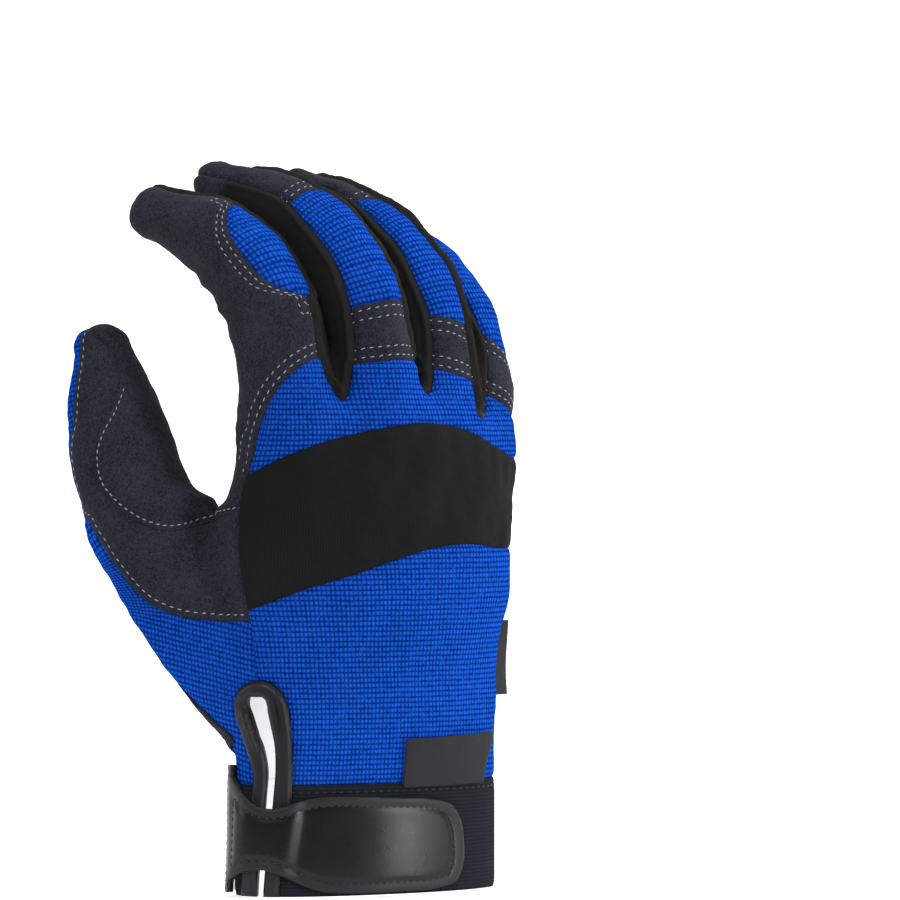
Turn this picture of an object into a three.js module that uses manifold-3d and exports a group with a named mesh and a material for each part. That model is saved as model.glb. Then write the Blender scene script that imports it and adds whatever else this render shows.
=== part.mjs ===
import * as THREE from 'three';
import { mergeVertices } from 'three/addons/utils/BufferGeometryUtils.js';
import Module from 'manifold-3d';

const wasm = await Module();
wasm.setup();

// A right-hand work glove, shown as a hand fills it. Millimetres, +Z toward the fingertips.
// The back of the hand looks along -Y and the thumb is on the -X side. The hem lies at Z = 0.

// Sizes of the hand part.
const PALM_LENGTH = 155;
const PALM_WIDTH = 97;
const PALM_DEPTH = 40;
const CUFF_HEIGHT = 34;

// Cloth and leather.
const WALL = 1.6;
const SEAM_GAP = 0.3;
const BINDING_RISE = 0.7;
const STRAP_THICKNESS = 2.0;
const PATCH_THICKNESS = 1.3;
const LABEL_THICKNESS = 0.9;

// Digits: length from root to tip, and half thickness.
const INDEX_LENGTH = 105;
const MIDDLE_LENGTH = 115;
const RING_LENGTH = 107;
const LITTLE_LENGTH = 96;
const FINGER_HALF = 12.6;
const LITTLE_HALF = 11;
const THUMB_LENGTH = 152;
const THUMB_HALF = 20;

// Points round a digit, and round the palm.
const DIGIT_POINTS = 12;
const PALM_POINTS = 20;

// How far a cutting wedge reaches past a finger, and past the thumb.
const FINGER_REACH = 1.45;
const SLEEVE_REACH = 1.25;
const PAST_TIP = 1.12;
const THUMB_REACH = 2.4;
// Depth of the blocks that cut panels out, and the height of the loft that halves the hand.
const CUT_DEPTH = 120;
const SIDE_REACH = 1.6;

const degrees = Math.PI / 180;
const UP = new THREE.Vector3(0, 0, 1);

// Palm sections. Heights are shares of PALM_LENGTH, widths and centres of PALM_WIDTH,
// the back, palm, lift, arch and tilt of PALM_DEPTH.
const PALM_SECTIONS = [
  { rise: 0, half: 0.448, back: 0.375, palm: 0.35, centre: 0.005, arch: 0.05, tilt: 0 },
  { rise: 0.219, half: 0.448, back: 0.375, palm: 0.35, centre: 0.005, arch: 0.05, tilt: 0 },
  { rise: 0.323, half: 0.448, back: 0.425, palm: 0.425, centre: 0.01, arch: 0.075, tilt: 0.025 },
  { rise: 0.465, half: 0.469, back: 0.475, palm: 0.475, centre: 0.01, arch: 0.125, tilt: 0.05 },
  { rise: 0.613, half: 0.49, back: 0.5, palm: 0.5, centre: 0.021, arch: 0.175, tilt: 0.075 },
  { rise: 0.774, half: 0.5, back: 0.475, palm: 0.425, centre: 0.031, arch: 0.25, tilt: 0.1 },
  { rise: 0.916, half: 0.505, back: 0.4, palm: 0.35, centre: 0.057, arch: 0.3, tilt: 0.125 },
  { rise: 1, half: 0.479, back: 0.3, palm: 0.275, centre: 0.041, arch: 0.3125, tilt: 0.1375 },
];

// Finger roots as shares of the palm sizes. Angles in degrees: how far the finger leans at the
// root and at the tip, the way it curls round +Z, and the way its back faces.
const FINGERS = {
  index: { x: -0.286, y: -0.042, z: 0.942, length: INDEX_LENGTH, half: FINGER_HALF * 1.09,
    leanRoot: 5.8, leanTip: 77.3, curl: 30, facing: -26 },
  middle: { x: 0.02, y: -0.16, z: 0.955, length: MIDDLE_LENGTH, half: FINGER_HALF * 0.97,
    leanRoot: 7.8, leanTip: 75.1, curl: 30.8, facing: -8 },
  ring: { x: 0.273, y: 0.025, z: 0.942, length: RING_LENGTH, half: FINGER_HALF * 0.937,
    leanRoot: 6.4, leanTip: 67.3, curl: 31.4, facing: 18 },
  little: { x: 0.462, y: 0.317, z: 0.89, length: LITTLE_LENGTH, half: LITTLE_HALF,
    leanRoot: 3.4, leanTip: 61.2, curl: 23.4, facing: 45 },
};

// How a finger's section shrinks along its length. The first row is sunk in the palm.
const FINGER_TAPER = [
  { along: -0.14, size: 0.5 },
  { along: 0, size: 1.07 },
  { along: 0.28, size: 1.03 },
  { along: 0.55, size: 0.98 },
  { along: 0.8, size: 0.92 },
  { along: 0.92, size: 0.79 },
  { along: 0.975, size: 0.54 },
  { along: 1, size: 0.2 },
];
const FINGER_STATIONS = [-0.14, 0, 0.14, 0.28, 0.41, 0.54, 0.67, 0.8, 0.92, 0.975, 1];

// Thumb sections: centres are shares of THUMB_LENGTH, half sizes of THUMB_HALF.
const THUMB_SECTIONS = [
  { x: -0.145, y: 0.039, z: 0.263, half: 0.6, depth: 0.55 },
  { x: -0.211, y: 0.066, z: 0.368, half: 0.8, depth: 0.65 },
  { x: -0.27, y: 0.099, z: 0.487, half: 0.95, depth: 0.75 },
  { x: -0.336, y: 0.138, z: 0.605, half: 1, depth: 0.75 },
  { x: -0.388, y: 0.178, z: 0.711, half: 0.975, depth: 0.725 },
  { x: -0.421, y: 0.214, z: 0.796, half: 0.925, depth: 0.675 },
  { x: -0.438, y: 0.243, z: 0.875, half: 0.85, depth: 0.625 },
  { x: -0.447, y: 0.276, z: 0.961, half: 0.725, depth: 0.575 },
  { x: -0.457, y: 0.303, z: 1.033, half: 0.575, depth: 0.5 },
  { x: -0.467, y: 0.322, z: 1.092, half: 0.4, depth: 0.375 },
  { x: -0.474, y: 0.336, z: 1.132, half: 0.2, depth: 0.2 },
];
const THUMB_FACING = -10;

// Seams are drawn in two upright planes, one turned to the back and one to the palm.
// Columns: distance across as a share of PALM_WIDTH, height as a share of PALM_LENGTH.
const BACK_PLANE_TURN = -24;
const PALM_PLANE_TURN = 186;

const VENT_SLIT = [
  [-0.351, -0.04], [-0.345, 0.02], [-0.314, 0.2], [-0.309, 0.258], [-0.32, 0.29], [-0.34, 0.323],
  [-0.361, 0.348], [-0.371, 0.381], [-0.358, 0.4], [-0.338, 0.403], [-0.32, 0.387],
  [-0.304, 0.348], [-0.294, 0.323], [-0.287, 0.29], [-0.284, 0.232], [-0.294, 0.2],
  [-0.325, 0.02], [-0.33, -0.04],
];
const VENT_OUTLINE = [
  [-0.4, -0.04], [-0.395, 0.02], [-0.361, 0.2], [-0.356, 0.252], [-0.371, 0.284], [-0.392, 0.323],
  [-0.412, 0.348], [-0.414, 0.394], [-0.392, 0.416], [-0.351, 0.43], [-0.289, 0.426],
  [-0.247, 0.394], [-0.237, 0.348], [-0.227, 0.29], [-0.235, 0.194], [-0.27, 0.02], [-0.275, -0.04],
];
const BACK_SEAM = [
  [-0.371, 0.858], [-0.402, 0.761], [-0.392, 0.645], [-0.371, 0.555], [-0.361, 0.51], [-0.34, 0.4],
];
const BAND_TOP = [
  [-0.371, 0.847], [-0.216, 0.89], [-0.031, 0.929], [0.206, 0.948], [0.33, 0.935], [0.392, 0.916],
  [0.474, 0.884], [0.7, 0.83],
];
const BAND_BOTTOM = [
  [-0.371, 0.575], [-0.216, 0.613], [-0.031, 0.645], [0.124, 0.678], [0.227, 0.697], [0.33, 0.703],
  [0.454, 0.697], [0.7, 0.68],
];
const UPPER_EDGE = [
  [-0.371, 0.858], [-0.34, 0.929], [-0.299, 1], [-0.247, 1.032], [-0.186, 1.071], [-0.155, 1.1],
  [-0.072, 0.995], [-0.04, 1.11], [0.15, 1.12], [0.206, 1.005], [0.215, 1.09], [0.35, 1.07],
  [0.381, 0.955], [0.39, 1.04], [0.48, 1.01], [0.7, 1.01],
];
const SADDLE_EDGE = [
  [-1, 0.63], [-0.773, 0.606], [-0.701, 0.568], [-0.619, 0.555], [-0.495, 0.548], [-0.371, 0.552],
];
const THUMB_SEAM = [
  [-0.85, 1.155], [-0.825, 1.097], [-0.804, 1.039], [-0.835, 0.974], [-0.876, 0.897],
  [-0.866, 0.832], [-0.804, 0.787], [-0.753, 0.761], [-0.629, 0.729], [-0.5, 0.745], [-0.4, 0.765],
];
const THENAR_PATCH = [
  [0.371, 0.548], [0.464, 0.561], [0.566, 0.555], [0.587, 0.529], [0.546, 0.452], [0.495, 0.374],
  [0.412, 0.284], [0.33, 0.27], [0.186, 0.284], [0.12, 0.31],
];
const PALM_LOWER_BLUE = [[0.15, 0.2], [0.15, 0.295], [0.42, 0.53], [0.9, 0.6], [0.9, 0.2]];
const STRAP_FRONT = [
  [-0.7, 0.258], [-0.423, 0.255], [-0.371, 0.2], [-0.309, 0.174], [-0.237, 0.187], [-0.196, 0.194],
  [-0.124, 0.2], [0.01, 0.194], [0.206, 0.187], [0.268, 0.168], [0.297, 0.132], [0.289, 0.039],
  [0.247, 0.013], [-0.02, 0.01], [-0.196, 0.019], [-0.258, 0.039], [-0.32, 0.052], [-0.371, 0.045],
  [-0.412, 0.026], [-0.7, 0.024],
];
const STRAP_BACK = [
  [0.8, 0.024], [0.36, 0.022], [0.315, 0.04], [0.3, 0.07], [0.3, 0.2], [0.32, 0.24],
  [0.36, 0.256], [0.8, 0.258],
];
const LABEL = [[0.124, 0.316], [0.392, 0.313], [0.376, 0.226], [0.115, 0.222]];
// The tab that stands out of the little finger's side seam.
const TAB_WIDTH = 9;
const TAB_HEIGHT = 24;
const TAB_RISE = 0.465;
const TAB_TURN = 41;

// Where the panels of a finger meet, as angles round it: 0 is its thumb side and 90 its back.
const BACK_FROM = 42;
const BACK_TO = 138;
const FORK_DEPTH = 64;

function signedPower(value, power) {
  return Math.sign(value) * Math.abs(value) ** power;
}

function tableValue(rows, key, at) {
  if (at <= rows[0].along) return rows[0][key];
  for (let i = 1; i < rows.length; i += 1) {
    if (at <= rows[i].along) {
      const share = (at - rows[i - 1].along) / (rows[i].along - rows[i - 1].along);
      return THREE.MathUtils.lerp(rows[i - 1][key], rows[i][key], share);
    }
  }
  return rows[rows.length - 1][key];
}

function toSolid(geometry) {
  geometry.deleteAttribute('normal');
  geometry.deleteAttribute('uv');
  const merged = mergeVertices(geometry, 1e-4);
  const solid = new wasm.Manifold(new wasm.Mesh({
    numProp: 3,
    vertProperties: new Float32Array(merged.attributes.position.array),
    triVerts: new Uint32Array(merged.index.array),
  }));
  return solid;
}

// A closed skin through rings of equal point counts, with each end fanned from a hub point.
function loft(rings, hubs) {
  const count = rings[0].length;
  const points = rings.flat().concat(hubs);
  const faces = [];
  for (let r = 0; r + 1 < rings.length; r += 1) {
    for (let i = 0; i < count; i += 1) {
      const a = r * count + i;
      const b = r * count + (i + 1) % count;
      faces.push(a, b, b + count, a, b + count, a + count);
    }
  }
  const low = rings.length * count;
  const last = (rings.length - 1) * count;
  for (let i = 0; i < count; i += 1) {
    const next = (i + 1) % count;
    faces.push(low, next, i, low + 1, last + i, last + next);
  }
  const geometry = new THREE.BufferGeometry();
  geometry.setAttribute('position',
    new THREE.Float32BufferAttribute(points.flatMap((p) => [p.x, p.y, p.z]), 3));
  if (signedVolume(points, faces) < 0) faces.reverse();
  geometry.setIndex(faces);
  return toSolid(geometry);
}

function signedVolume(points, faces) {
  let sum = 0;
  for (let i = 0; i < faces.length; i += 3) {
    const [a, b, c] = [points[faces[i]], points[faces[i + 1]], points[faces[i + 2]]];
    sum += a.dot(new THREE.Vector3().crossVectors(b, c));
  }
  return sum;
}

function middleOf(ring) {
  return ring.reduce((sum, p) => sum.add(p), new THREE.Vector3()).divideScalar(ring.length);
}

function palmSurfaceY(row, across) {
  return PALM_DEPTH * (row.arch * (across * across - 0.35) + row.tilt * across);
}

// One section of the palm, made larger or smaller all round by offset.
function palmRing(row, offset, height) {
  const half = row.half * PALM_WIDTH + offset;
  const ring = [];
  for (let i = 0; i < PALM_POINTS; i += 1) {
    const angle = (i / PALM_POINTS) * 2 * Math.PI;
    const across = signedPower(Math.cos(angle), 0.85);
    const side = Math.sin(angle);
    const reach = (side > 0 ? row.palm : row.back) * PALM_DEPTH + offset;
    ring.push(new THREE.Vector3(
      row.centre * PALM_WIDTH + half * across,
      palmSurfaceY(row, across) + reach * signedPower(side, 0.85),
      height,
    ));
  }
  return ring;
}

function palmSolid(offset, hemReach) {
  const rings = PALM_SECTIONS.map((row, i) => {
    const isTop = i === PALM_SECTIONS.length - 1;
    const height = row.rise * PALM_LENGTH + (isTop ? offset : 0) - (i === 0 ? hemReach : 0);
    return palmRing(row, offset, height);
  });
  return loft(rings, [middleOf(rings[0]), middleOf(rings[rings.length - 1])]);
}

// A finger's centre line, with the direction along it, its back and its thumb side.
function fingerFrames(finger, stations, offset) {
  const length = finger.length + offset;
  const curl = finger.curl * degrees;
  const lean = new THREE.Vector3(-Math.sin(curl), Math.cos(curl), 0);
  const swing = new THREE.Vector3().crossVectors(UP, lean);
  const facing = finger.facing * degrees;
  const back0 = new THREE.Vector3(Math.sin(facing), -Math.cos(facing), 0);
  const root = new THREE.Vector3(
    finger.x * PALM_WIDTH, finger.y * PALM_DEPTH, finger.z * PALM_LENGTH);
  const angleAt = (s) => {
    const q = THREE.MathUtils.smoothstep(s, 0.08, 0.88);
    return THREE.MathUtils.lerp(finger.leanRoot, finger.leanTip, q) * degrees;
  };
  const steps = 60;
  const pointAt = (s) => {
    const point = root.clone();
    for (let i = 0; i < steps; i += 1) {
      const angle = angleAt((s * (i + 0.5)) / steps);
      point.addScaledVector(UP, (Math.cos(angle) * length * s) / steps);
      point.addScaledVector(lean, (Math.sin(angle) * length * s) / steps);
    }
    return point;
  };
  return stations.map((s) => {
    const angle = angleAt(s);
    const along = UP.clone().multiplyScalar(Math.cos(angle)).addScaledVector(lean, Math.sin(angle));
    const back = lean.clone().multiplyScalar(Math.cos(angle)).addScaledVector(UP, -Math.sin(angle))
      .multiplyScalar(back0.dot(lean)).addScaledVector(swing, back0.dot(swing));
    const side = new THREE.Vector3().crossVectors(back, along);
    return { s, point: pointAt(s), along, back, side };
  });
}

function ellipseRing(frame, halfSide, halfBack) {
  const ring = [];
  for (let i = 0; i < DIGIT_POINTS; i += 1) {
    const angle = ((i + 0.5) / DIGIT_POINTS) * 2 * Math.PI;
    ring.push(frame.point.clone()
      .addScaledVector(frame.side, halfSide * signedPower(Math.cos(angle), 0.9))
      .addScaledVector(frame.back, halfBack * signedPower(Math.sin(angle), 0.9)));
  }
  return ring;
}

function fingerSolid(finger, offset) {
  const frames = fingerFrames(finger, FINGER_STATIONS, offset);
  const rings = frames.map((frame) => {
    const half = (finger.half + offset) * tableValue(FINGER_TAPER, 'size', frame.s);
    return ellipseRing(frame, half, half);
  });
  return loft(rings, [frames[0].point, frames[frames.length - 1].point]);
}

function thumbFrames() {
  const points = THUMB_SECTIONS.map((row) => new THREE.Vector3(row.x, row.y, row.z)
    .multiplyScalar(THUMB_LENGTH));
  const facing = new THREE.Vector3(
    Math.sin(THUMB_FACING * degrees), -Math.cos(THUMB_FACING * degrees), 0);
  return THUMB_SECTIONS.map((row, i) => {
    const before = points[Math.max(i - 1, 0)];
    const after = points[Math.min(i + 1, points.length - 1)];
    const along = after.clone().sub(before).normalize();
    const back = facing.clone().addScaledVector(along, -facing.dot(along)).normalize();
    const side = new THREE.Vector3().crossVectors(back, along);
    return { row, point: points[i], along, back, side };
  });
}

function thumbSolid(offset) {
  const frames = thumbFrames();
  const tip = frames[frames.length - 1];
  const rings = frames.map((frame) => ellipseRing(
    frame === tip ? { ...frame, point: frame.point.clone().addScaledVector(frame.along, offset) }
      : frame,
    Math.max(frame.row.half * THUMB_HALF + offset, 0.8),
    Math.max(frame.row.depth * THUMB_HALF + offset, 0.8),
  ));
  return loft(rings, [middleOf(rings[0]), middleOf(rings[rings.length - 1])]);
}

// The whole hand form, swollen or shrunk by offset and run past the hem by hemReach.
function handSolid(offset, hemReach) {
  return Object.values(FINGERS).reduce(
    (sum, finger) => sum.add(fingerSolid(finger, offset)),
    palmSolid(offset, hemReach).add(thumbSolid(offset)),
  );
}

// A wedge along a digit from its centre line outward, between two angles at each frame.
// Growing it moves both flat sides and both ends outward.
function wedge(frames, angles, reach, grow) {
  const steps = 4;
  const rings = frames.map((frame, i) => {
    const [from, to] = angles(frame).map((angle) => angle * degrees);
    const half = (to - from) / 2;
    const turn = (from + to) / 2;
    const apexShift = -grow / Math.max(Math.sin(Math.min(half, Math.PI / 2)), 0.2);
    const endShift = (i === 0 ? -grow : 0) + (i === frames.length - 1 ? grow : 0);
    const at = (angle, radius) => frame.point.clone()
      .addScaledVector(frame.along, endShift)
      .addScaledVector(frame.side, Math.cos(turn) * apexShift + Math.cos(angle) * radius)
      .addScaledVector(frame.back, Math.sin(turn) * apexShift + Math.sin(angle) * radius);
    const ring = [at(turn, 0)];
    for (let k = 0; k <= steps; k += 1) {
      ring.push(at(from + ((to - from) * k) / steps, reach + grow - apexShift));
    }
    return ring;
  });
  return loft(rings, [
    rings[0][0].clone().lerp(rings[0][1 + steps / 2], 0.01),
    rings[rings.length - 1][0].clone().lerp(rings[rings.length - 1][1 + steps / 2], 0.01),
  ]);
}

function fingerWedge(finger, from, to, angles, grow) {
  const count = Math.max(2, Math.ceil((to - from) / 0.12) + 1);
  const stations = Array.from({ length: count }, (_, i) => from + ((to - from) * i) / (count - 1));
  return wedge(fingerFrames(finger, stations, 0), angles, finger.half * FINGER_REACH, grow);
}

// A closed sleeve round a stretch of a digit, wider than the digit on every side.
function sleeve(frames, reach, grow) {
  const rings = frames.map((frame, i) => {
    const endShift = (i === 0 ? -grow : 0) + (i === frames.length - 1 ? grow : 0);
    const point = frame.point.clone().addScaledVector(frame.along, endShift);
    return ellipseRing({ ...frame, point }, reach + grow, reach + grow);
  });
  return loft(rings, [middleOf(rings[0]), middleOf(rings[rings.length - 1])]);
}

function fingerSleeve(finger, from, grow) {
  const stations = [from, 0.3, 0.5, 0.7, 0.9, PAST_TIP];
  return sleeve(fingerFrames(finger, stations, 0), finger.half * SLEEVE_REACH, grow);
}

// The back half of the hand, from below the hem to above the knuckles.
function backHalf(grow) {
  const below = { ...PALM_SECTIONS[0], rise: -0.1 };
  const above = { ...PALM_SECTIONS[PALM_SECTIONS.length - 1], rise: 1.35 };
  const rows = [below, ...PALM_SECTIONS, above];
  const rings = rows.map((row) => {
    const place = (across, y) => new THREE.Vector3(
      (row.centre + row.half * across) * PALM_WIDTH, y, row.rise * PALM_LENGTH);
    const edge = [-SIDE_REACH, -1, -0.5, 0, 0.5, 1, SIDE_REACH].map((across) => place(
      across, palmSurfaceY(row, THREE.MathUtils.clamp(across, -1, 1)) + grow));
    return [...edge, place(SIDE_REACH, -CUT_DEPTH), place(-SIDE_REACH, -CUT_DEPTH)];
  });
  const hub = (ring) => middleOf([ring[0], ring[6], ring[7], ring[8]]);
  return loft(rings, [hub(rings[0]), hub(rings[rings.length - 1])]);
}

// The outline pushed outward by grow, corner by corner.
function grownOutline(points, grow) {
  const area = points.reduce((sum, p, i) => {
    const q = points[(i + 1) % points.length];
    return sum + p.x * q.y - q.x * p.y;
  }, 0);
  const sign = area > 0 ? 1 : -1;
  return points.map((p, i) => {
    const before = points[(i + points.length - 1) % points.length];
    const after = points[(i + 1) % points.length];
    const a = p.clone().sub(before).normalize();
    const b = after.clone().sub(p).normalize();
    const normal = new THREE.Vector2(a.y + b.y, -a.x - b.x).normalize();
    const stretch = Math.max(normal.dot(new THREE.Vector2(a.y, -a.x)), 0.4);
    return p.clone().addScaledVector(normal, (sign * grow) / stretch);
  });
}

// A block cut to an outline drawn in an upright plane turned round +Z.
function seamBlock(rows, turn, grow) {
  const outline = rows.map(([u, z]) => new THREE.Vector2(u * PALM_WIDTH, z * PALM_LENGTH));
  const geometry = new THREE.ExtrudeGeometry(new THREE.Shape(grownOutline(outline, grow)), {
    depth: CUT_DEPTH * 2, bevelEnabled: false, steps: 1,
  });
  geometry.translate(0, 0, -CUT_DEPTH);
  geometry.rotateX(Math.PI / 2);
  geometry.rotateZ(turn * degrees);
  return toSolid(geometry.index ? geometry.toNonIndexed() : geometry);
}

const backBlock = (rows, grow) => seamBlock(rows, BACK_PLANE_TURN, grow);
const palmBlock = (rows, grow) => seamBlock(rows, PALM_PLANE_TURN, grow);

function largestPiece(solid) {
  const pieces = solid.decompose();
  return pieces.reduce((best, piece) => (piece.volume() > best.volume() ? piece : best));
}

const COLOURS = {
  blue: { color: 0x1440c8, roughness: 0.8 },
  suede: { color: 0x24272f, roughness: 0.95 },
  stretch: { color: 0x1b1b19, roughness: 0.8 },
  band: { color: 0x202121, roughness: 0.85 },
  elastic: { color: 0x15171d, roughness: 0.9 },
  leather: { color: 0x1c1c1e, roughness: 0.35 },
  label: { color: 0x1a1b1f, roughness: 0.8 },
};

const glove = new THREE.Group();

function addPiece(name, solid, colour) {
  const mesh = largestPiece(solid).getMesh();
  const geometry = new THREE.BufferGeometry();
  geometry.setAttribute('position', new THREE.Float32BufferAttribute(mesh.vertProperties, 3));
  geometry.setIndex(new THREE.Uint32BufferAttribute(mesh.triVerts, 1));
  const piece = new THREE.Mesh(geometry, new THREE.MeshStandardMaterial(
    { ...COLOURS[colour], metalness: 0 }));
  piece.name = name;
  glove.add(piece);
}

// The skin of the glove, open at the hem and at the wrist slit.
const HEM_REACH = 10;
const outside = handSolid(0, 0);
const hollow = handSolid(-WALL, HEM_REACH);
const slit = (grow) => backBlock(VENT_SLIT, grow).intersect(backHalf(grow));
let skin = outside.subtract(hollow).subtract(slit(0));

// Takes what a cutter holds out of the skin as one panel, and leaves a seam gap round it.
function takePanel(name, cutter, colour) {
  addPiece(name, skin.intersect(cutter(0)), colour);
  skin = skin.subtract(cutter(SEAM_GAP));
}

// The binding folds over both faces of the slit's edge, so it stands a little proud of them.
const bindingZone = (grow) => backBlock(VENT_OUTLINE, grow).intersect(backHalf(grow));
addPiece('vent_binding',
  handSolid(BINDING_RISE, 0).subtract(handSolid(-WALL - BINDING_RISE, HEM_REACH))
    .intersect(bindingZone(0)).subtract(slit(0)),
  'leather');
skin = skin.subtract(bindingZone(SEAM_GAP));

const levelBlock = (low, high) => (grow) => backBlock(
  [[-2, low], [2, low], [2, high], [-2, high]], grow);
takePanel('cuff_band', levelBlock(-0.2, CUFF_HEIGHT / PALM_LENGTH), 'elastic');

// Finger backs, knuckle pads and tip caps, each a wedge along its finger.
const backAngles = () => [BACK_FROM, BACK_TO];
const FINGER_PANELS = [
  { finger: 'middle', part: 'knuckle_pad', from: 0.155, to: 0.31, colour: 'suede' },
  { finger: 'middle', part: 'back_panel', from: 0.31, to: 0.8, colour: 'blue' },
  { finger: 'middle', part: 'tip_cap', from: 0.8, to: PAST_TIP, colour: 'suede' },
  { finger: 'ring', part: 'knuckle_pad', from: 0.15, to: 0.32, colour: 'suede' },
  { finger: 'ring', part: 'back_panel', from: 0.32, to: 0.83, colour: 'blue' },
  { finger: 'ring', part: 'tip_cap', from: 0.83, to: PAST_TIP, colour: 'suede' },
  { finger: 'little', part: 'knuckle_pad', from: 0.17, to: 0.35, colour: 'suede' },
  { finger: 'little', part: 'back_panel', from: 0.35, to: PAST_TIP, colour: 'blue' },
];
const LITTLE_TO = 205;
const littleAngles = () => [BACK_FROM, LITTLE_TO];
for (const panel of FINGER_PANELS) {
  const finger = FINGERS[panel.finger];
  const angles = panel.finger === 'little' ? littleAngles : backAngles;
  takePanel(`${panel.finger}_${panel.part}`,
    (grow) => fingerWedge(finger, panel.from, panel.to, angles, grow), panel.colour);
}

// The index finger has a leaf-shaped back panel set in suede.
const INDEX_LEAF = [
  { along: 0.4, from: 108, to: 140 },
  { along: 0.5, from: 76, to: 140 },
  { along: 0.62, from: 60, to: 140 },
  { along: 0.72, from: 60, to: 132 },
  { along: 0.8, from: 78, to: 110 },
];
const leafAngles = (frame) => [
  tableValue(INDEX_LEAF, 'from', frame.s), tableValue(INDEX_LEAF, 'to', frame.s)];
takePanel('index_back_panel', (grow) => fingerWedge(FINGERS.index, INDEX_LEAF[0].along,
  INDEX_LEAF[INDEX_LEAF.length - 1].along, leafAngles, grow), 'blue');

// The back of the hand, from the knuckles down to the cuff.
const reversed = (rows) => [...rows].reverse();
const takeBack = (name, outline, colour) => takePanel(name,
  (grow) => backBlock(outline, grow).intersect(backHalf(grow)), colour);
takeBack('back_upper_panel', [...UPPER_EDGE, ...reversed(BAND_TOP)], 'blue');
takeBack('back_band', [...BAND_TOP, ...reversed(BAND_BOTTOM), BACK_SEAM[2],
  BACK_SEAM[1]], 'band');
takeBack('back_lower_panel', [...BAND_BOTTOM, [0.7, 0.15], [-0.25, 0.15], ...reversed(BACK_SEAM.slice(3))],
  'blue');

// Stretch strips run up between the fingers, round each crotch.
const ulnarAngles = () => [BACK_TO - 4, BACK_TO + FORK_DEPTH];
const radialAngles = () => [BACK_FROM - FORK_DEPTH, BACK_FROM + 4];
const FORK_FROM = 0.04;
const FORK_TO = 0.95;
function takeFork(name, first, second) {
  takePanel(name, (grow) => fingerWedge(first, FORK_FROM, FORK_TO, ulnarAngles, grow)
    .add(fingerWedge(second, FORK_FROM, FORK_TO, radialAngles, grow)), 'stretch');
}
takeFork('fork_index_middle', FINGERS.index, FINGERS.middle);
takeFork('fork_middle_ring', FINGERS.middle, FINGERS.ring);
takeFork('fork_ring_little', FINGERS.ring, FINGERS.little);

// The thumb: a blue side panel down to the cuff, and a suede saddle on the side toward the back.
const THUMB_BLUE_FROM = -95;
const THUMB_BLUE_TO = 28;
const thumbWedge = (from, to, grow) => wedge(
  thumbFrames(), () => [from, to], THUMB_HALF * THUMB_REACH, grow);
const lowerBlue = (grow) => backBlock(
  [...SADDLE_EDGE, [-0.3, 0.5], [-0.3, 0.15], [-1, 0.15]], grow)
  .intersect(backHalf(grow).add(thumbWedge(-5, 185, grow)));
takePanel('thumb_side_panel', (grow) => thumbWedge(THUMB_BLUE_FROM, THUMB_BLUE_TO, grow)
  .add(lowerBlue(grow)).add(palmBlock(PALM_LOWER_BLUE, grow).subtract(backHalf(-grow))), 'blue');
takePanel('thumb_saddle', (grow) => backBlock(
  [...THUMB_SEAM, [-0.35, 0.75], [-0.3, 0.5], [-1.1, 0.5], [-1.1, 1.2]], grow)
  .intersect(backHalf(grow).add(thumbWedge(-5, 185, grow))), 'suede');

// The suede palm side, parted at the roots of the digits.
const ROOT_SEAM = 0.12;
const SUEDE_SLEEVES = [
  { name: 'index_wrap_panel', finger: 'index' },
  { name: 'middle_front_panel', finger: 'middle' },
  { name: 'ring_front_panel', finger: 'ring' },
  { name: 'little_front_panel', finger: 'little' },
];
for (const { name, finger } of SUEDE_SLEEVES) {
  takePanel(name, (grow) => fingerSleeve(FINGERS[finger], ROOT_SEAM, grow), 'suede');
}
const THUMB_ROOT_ROW = 4;
takePanel('thumb_inner_panel', (grow) => sleeve(thumbFrames().slice(THUMB_ROOT_ROW),
  THUMB_HALF * SLEEVE_REACH, grow), 'suede');
addPiece('palm_panel', skin, 'suede');

// Pieces laid on the outside of the skin.
function layer(lift, thickness) {
  return handSolid(lift + thickness, 0).subtract(handSolid(lift, HEM_REACH));
}
const STRAP_LIFT = BINDING_RISE + SEAM_GAP;
const frontOfStrap = backBlock(STRAP_FRONT, 0).intersect(backHalf(0));
const backOfStrap = palmBlock(STRAP_BACK, 0).subtract(backHalf(0));
const strap = layer(STRAP_LIFT, STRAP_THICKNESS).intersect(frontOfStrap.add(backOfStrap));
addPiece('closure_strap', strap, 'leather');
addPiece('thenar_patch', layer(SEAM_GAP, PATCH_THICKNESS)
  .intersect(palmBlock(THENAR_PATCH, 0)).subtract(backHalf(0)), 'suede');
addPiece('label_tag', layer(SEAM_GAP, LABEL_THICKNESS)
  .intersect(backBlock(LABEL, 0)).intersect(backHalf(0)), 'label');
const tab = new THREE.BoxGeometry(2 * TAB_WIDTH, LABEL_THICKNESS, TAB_HEIGHT);
tab.rotateZ(TAB_TURN * degrees);
const tabSeam = PALM_SECTIONS[3];
tab.translate((tabSeam.centre + tabSeam.half) * PALM_WIDTH, palmSurfaceY(tabSeam, 1),
  TAB_RISE * PALM_LENGTH);
addPiece('side_tab', toSolid(tab).subtract(handSolid(SEAM_GAP, HEM_REACH)), 'label');

export default glove;
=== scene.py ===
"""Mechanic work glove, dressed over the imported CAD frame.

The hand form is one smooth skin. Seam fields cut it into the sewn panels, each panel gets its
thickness, edges and cloth directions, and stitches, strap and labels are laid on it.
All maths is in millimetres in the frame of the CAD part; meshes are stored in metres.
"""

from __future__ import annotations

import logging
import math
from dataclasses import dataclass, field, replace
from enum import Enum
from typing import Any, Callable, Sequence

import bpy
import numpy as np
import openvdb
from mathutils import Matrix, Vector
from mathutils.kdtree import KDTree

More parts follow.
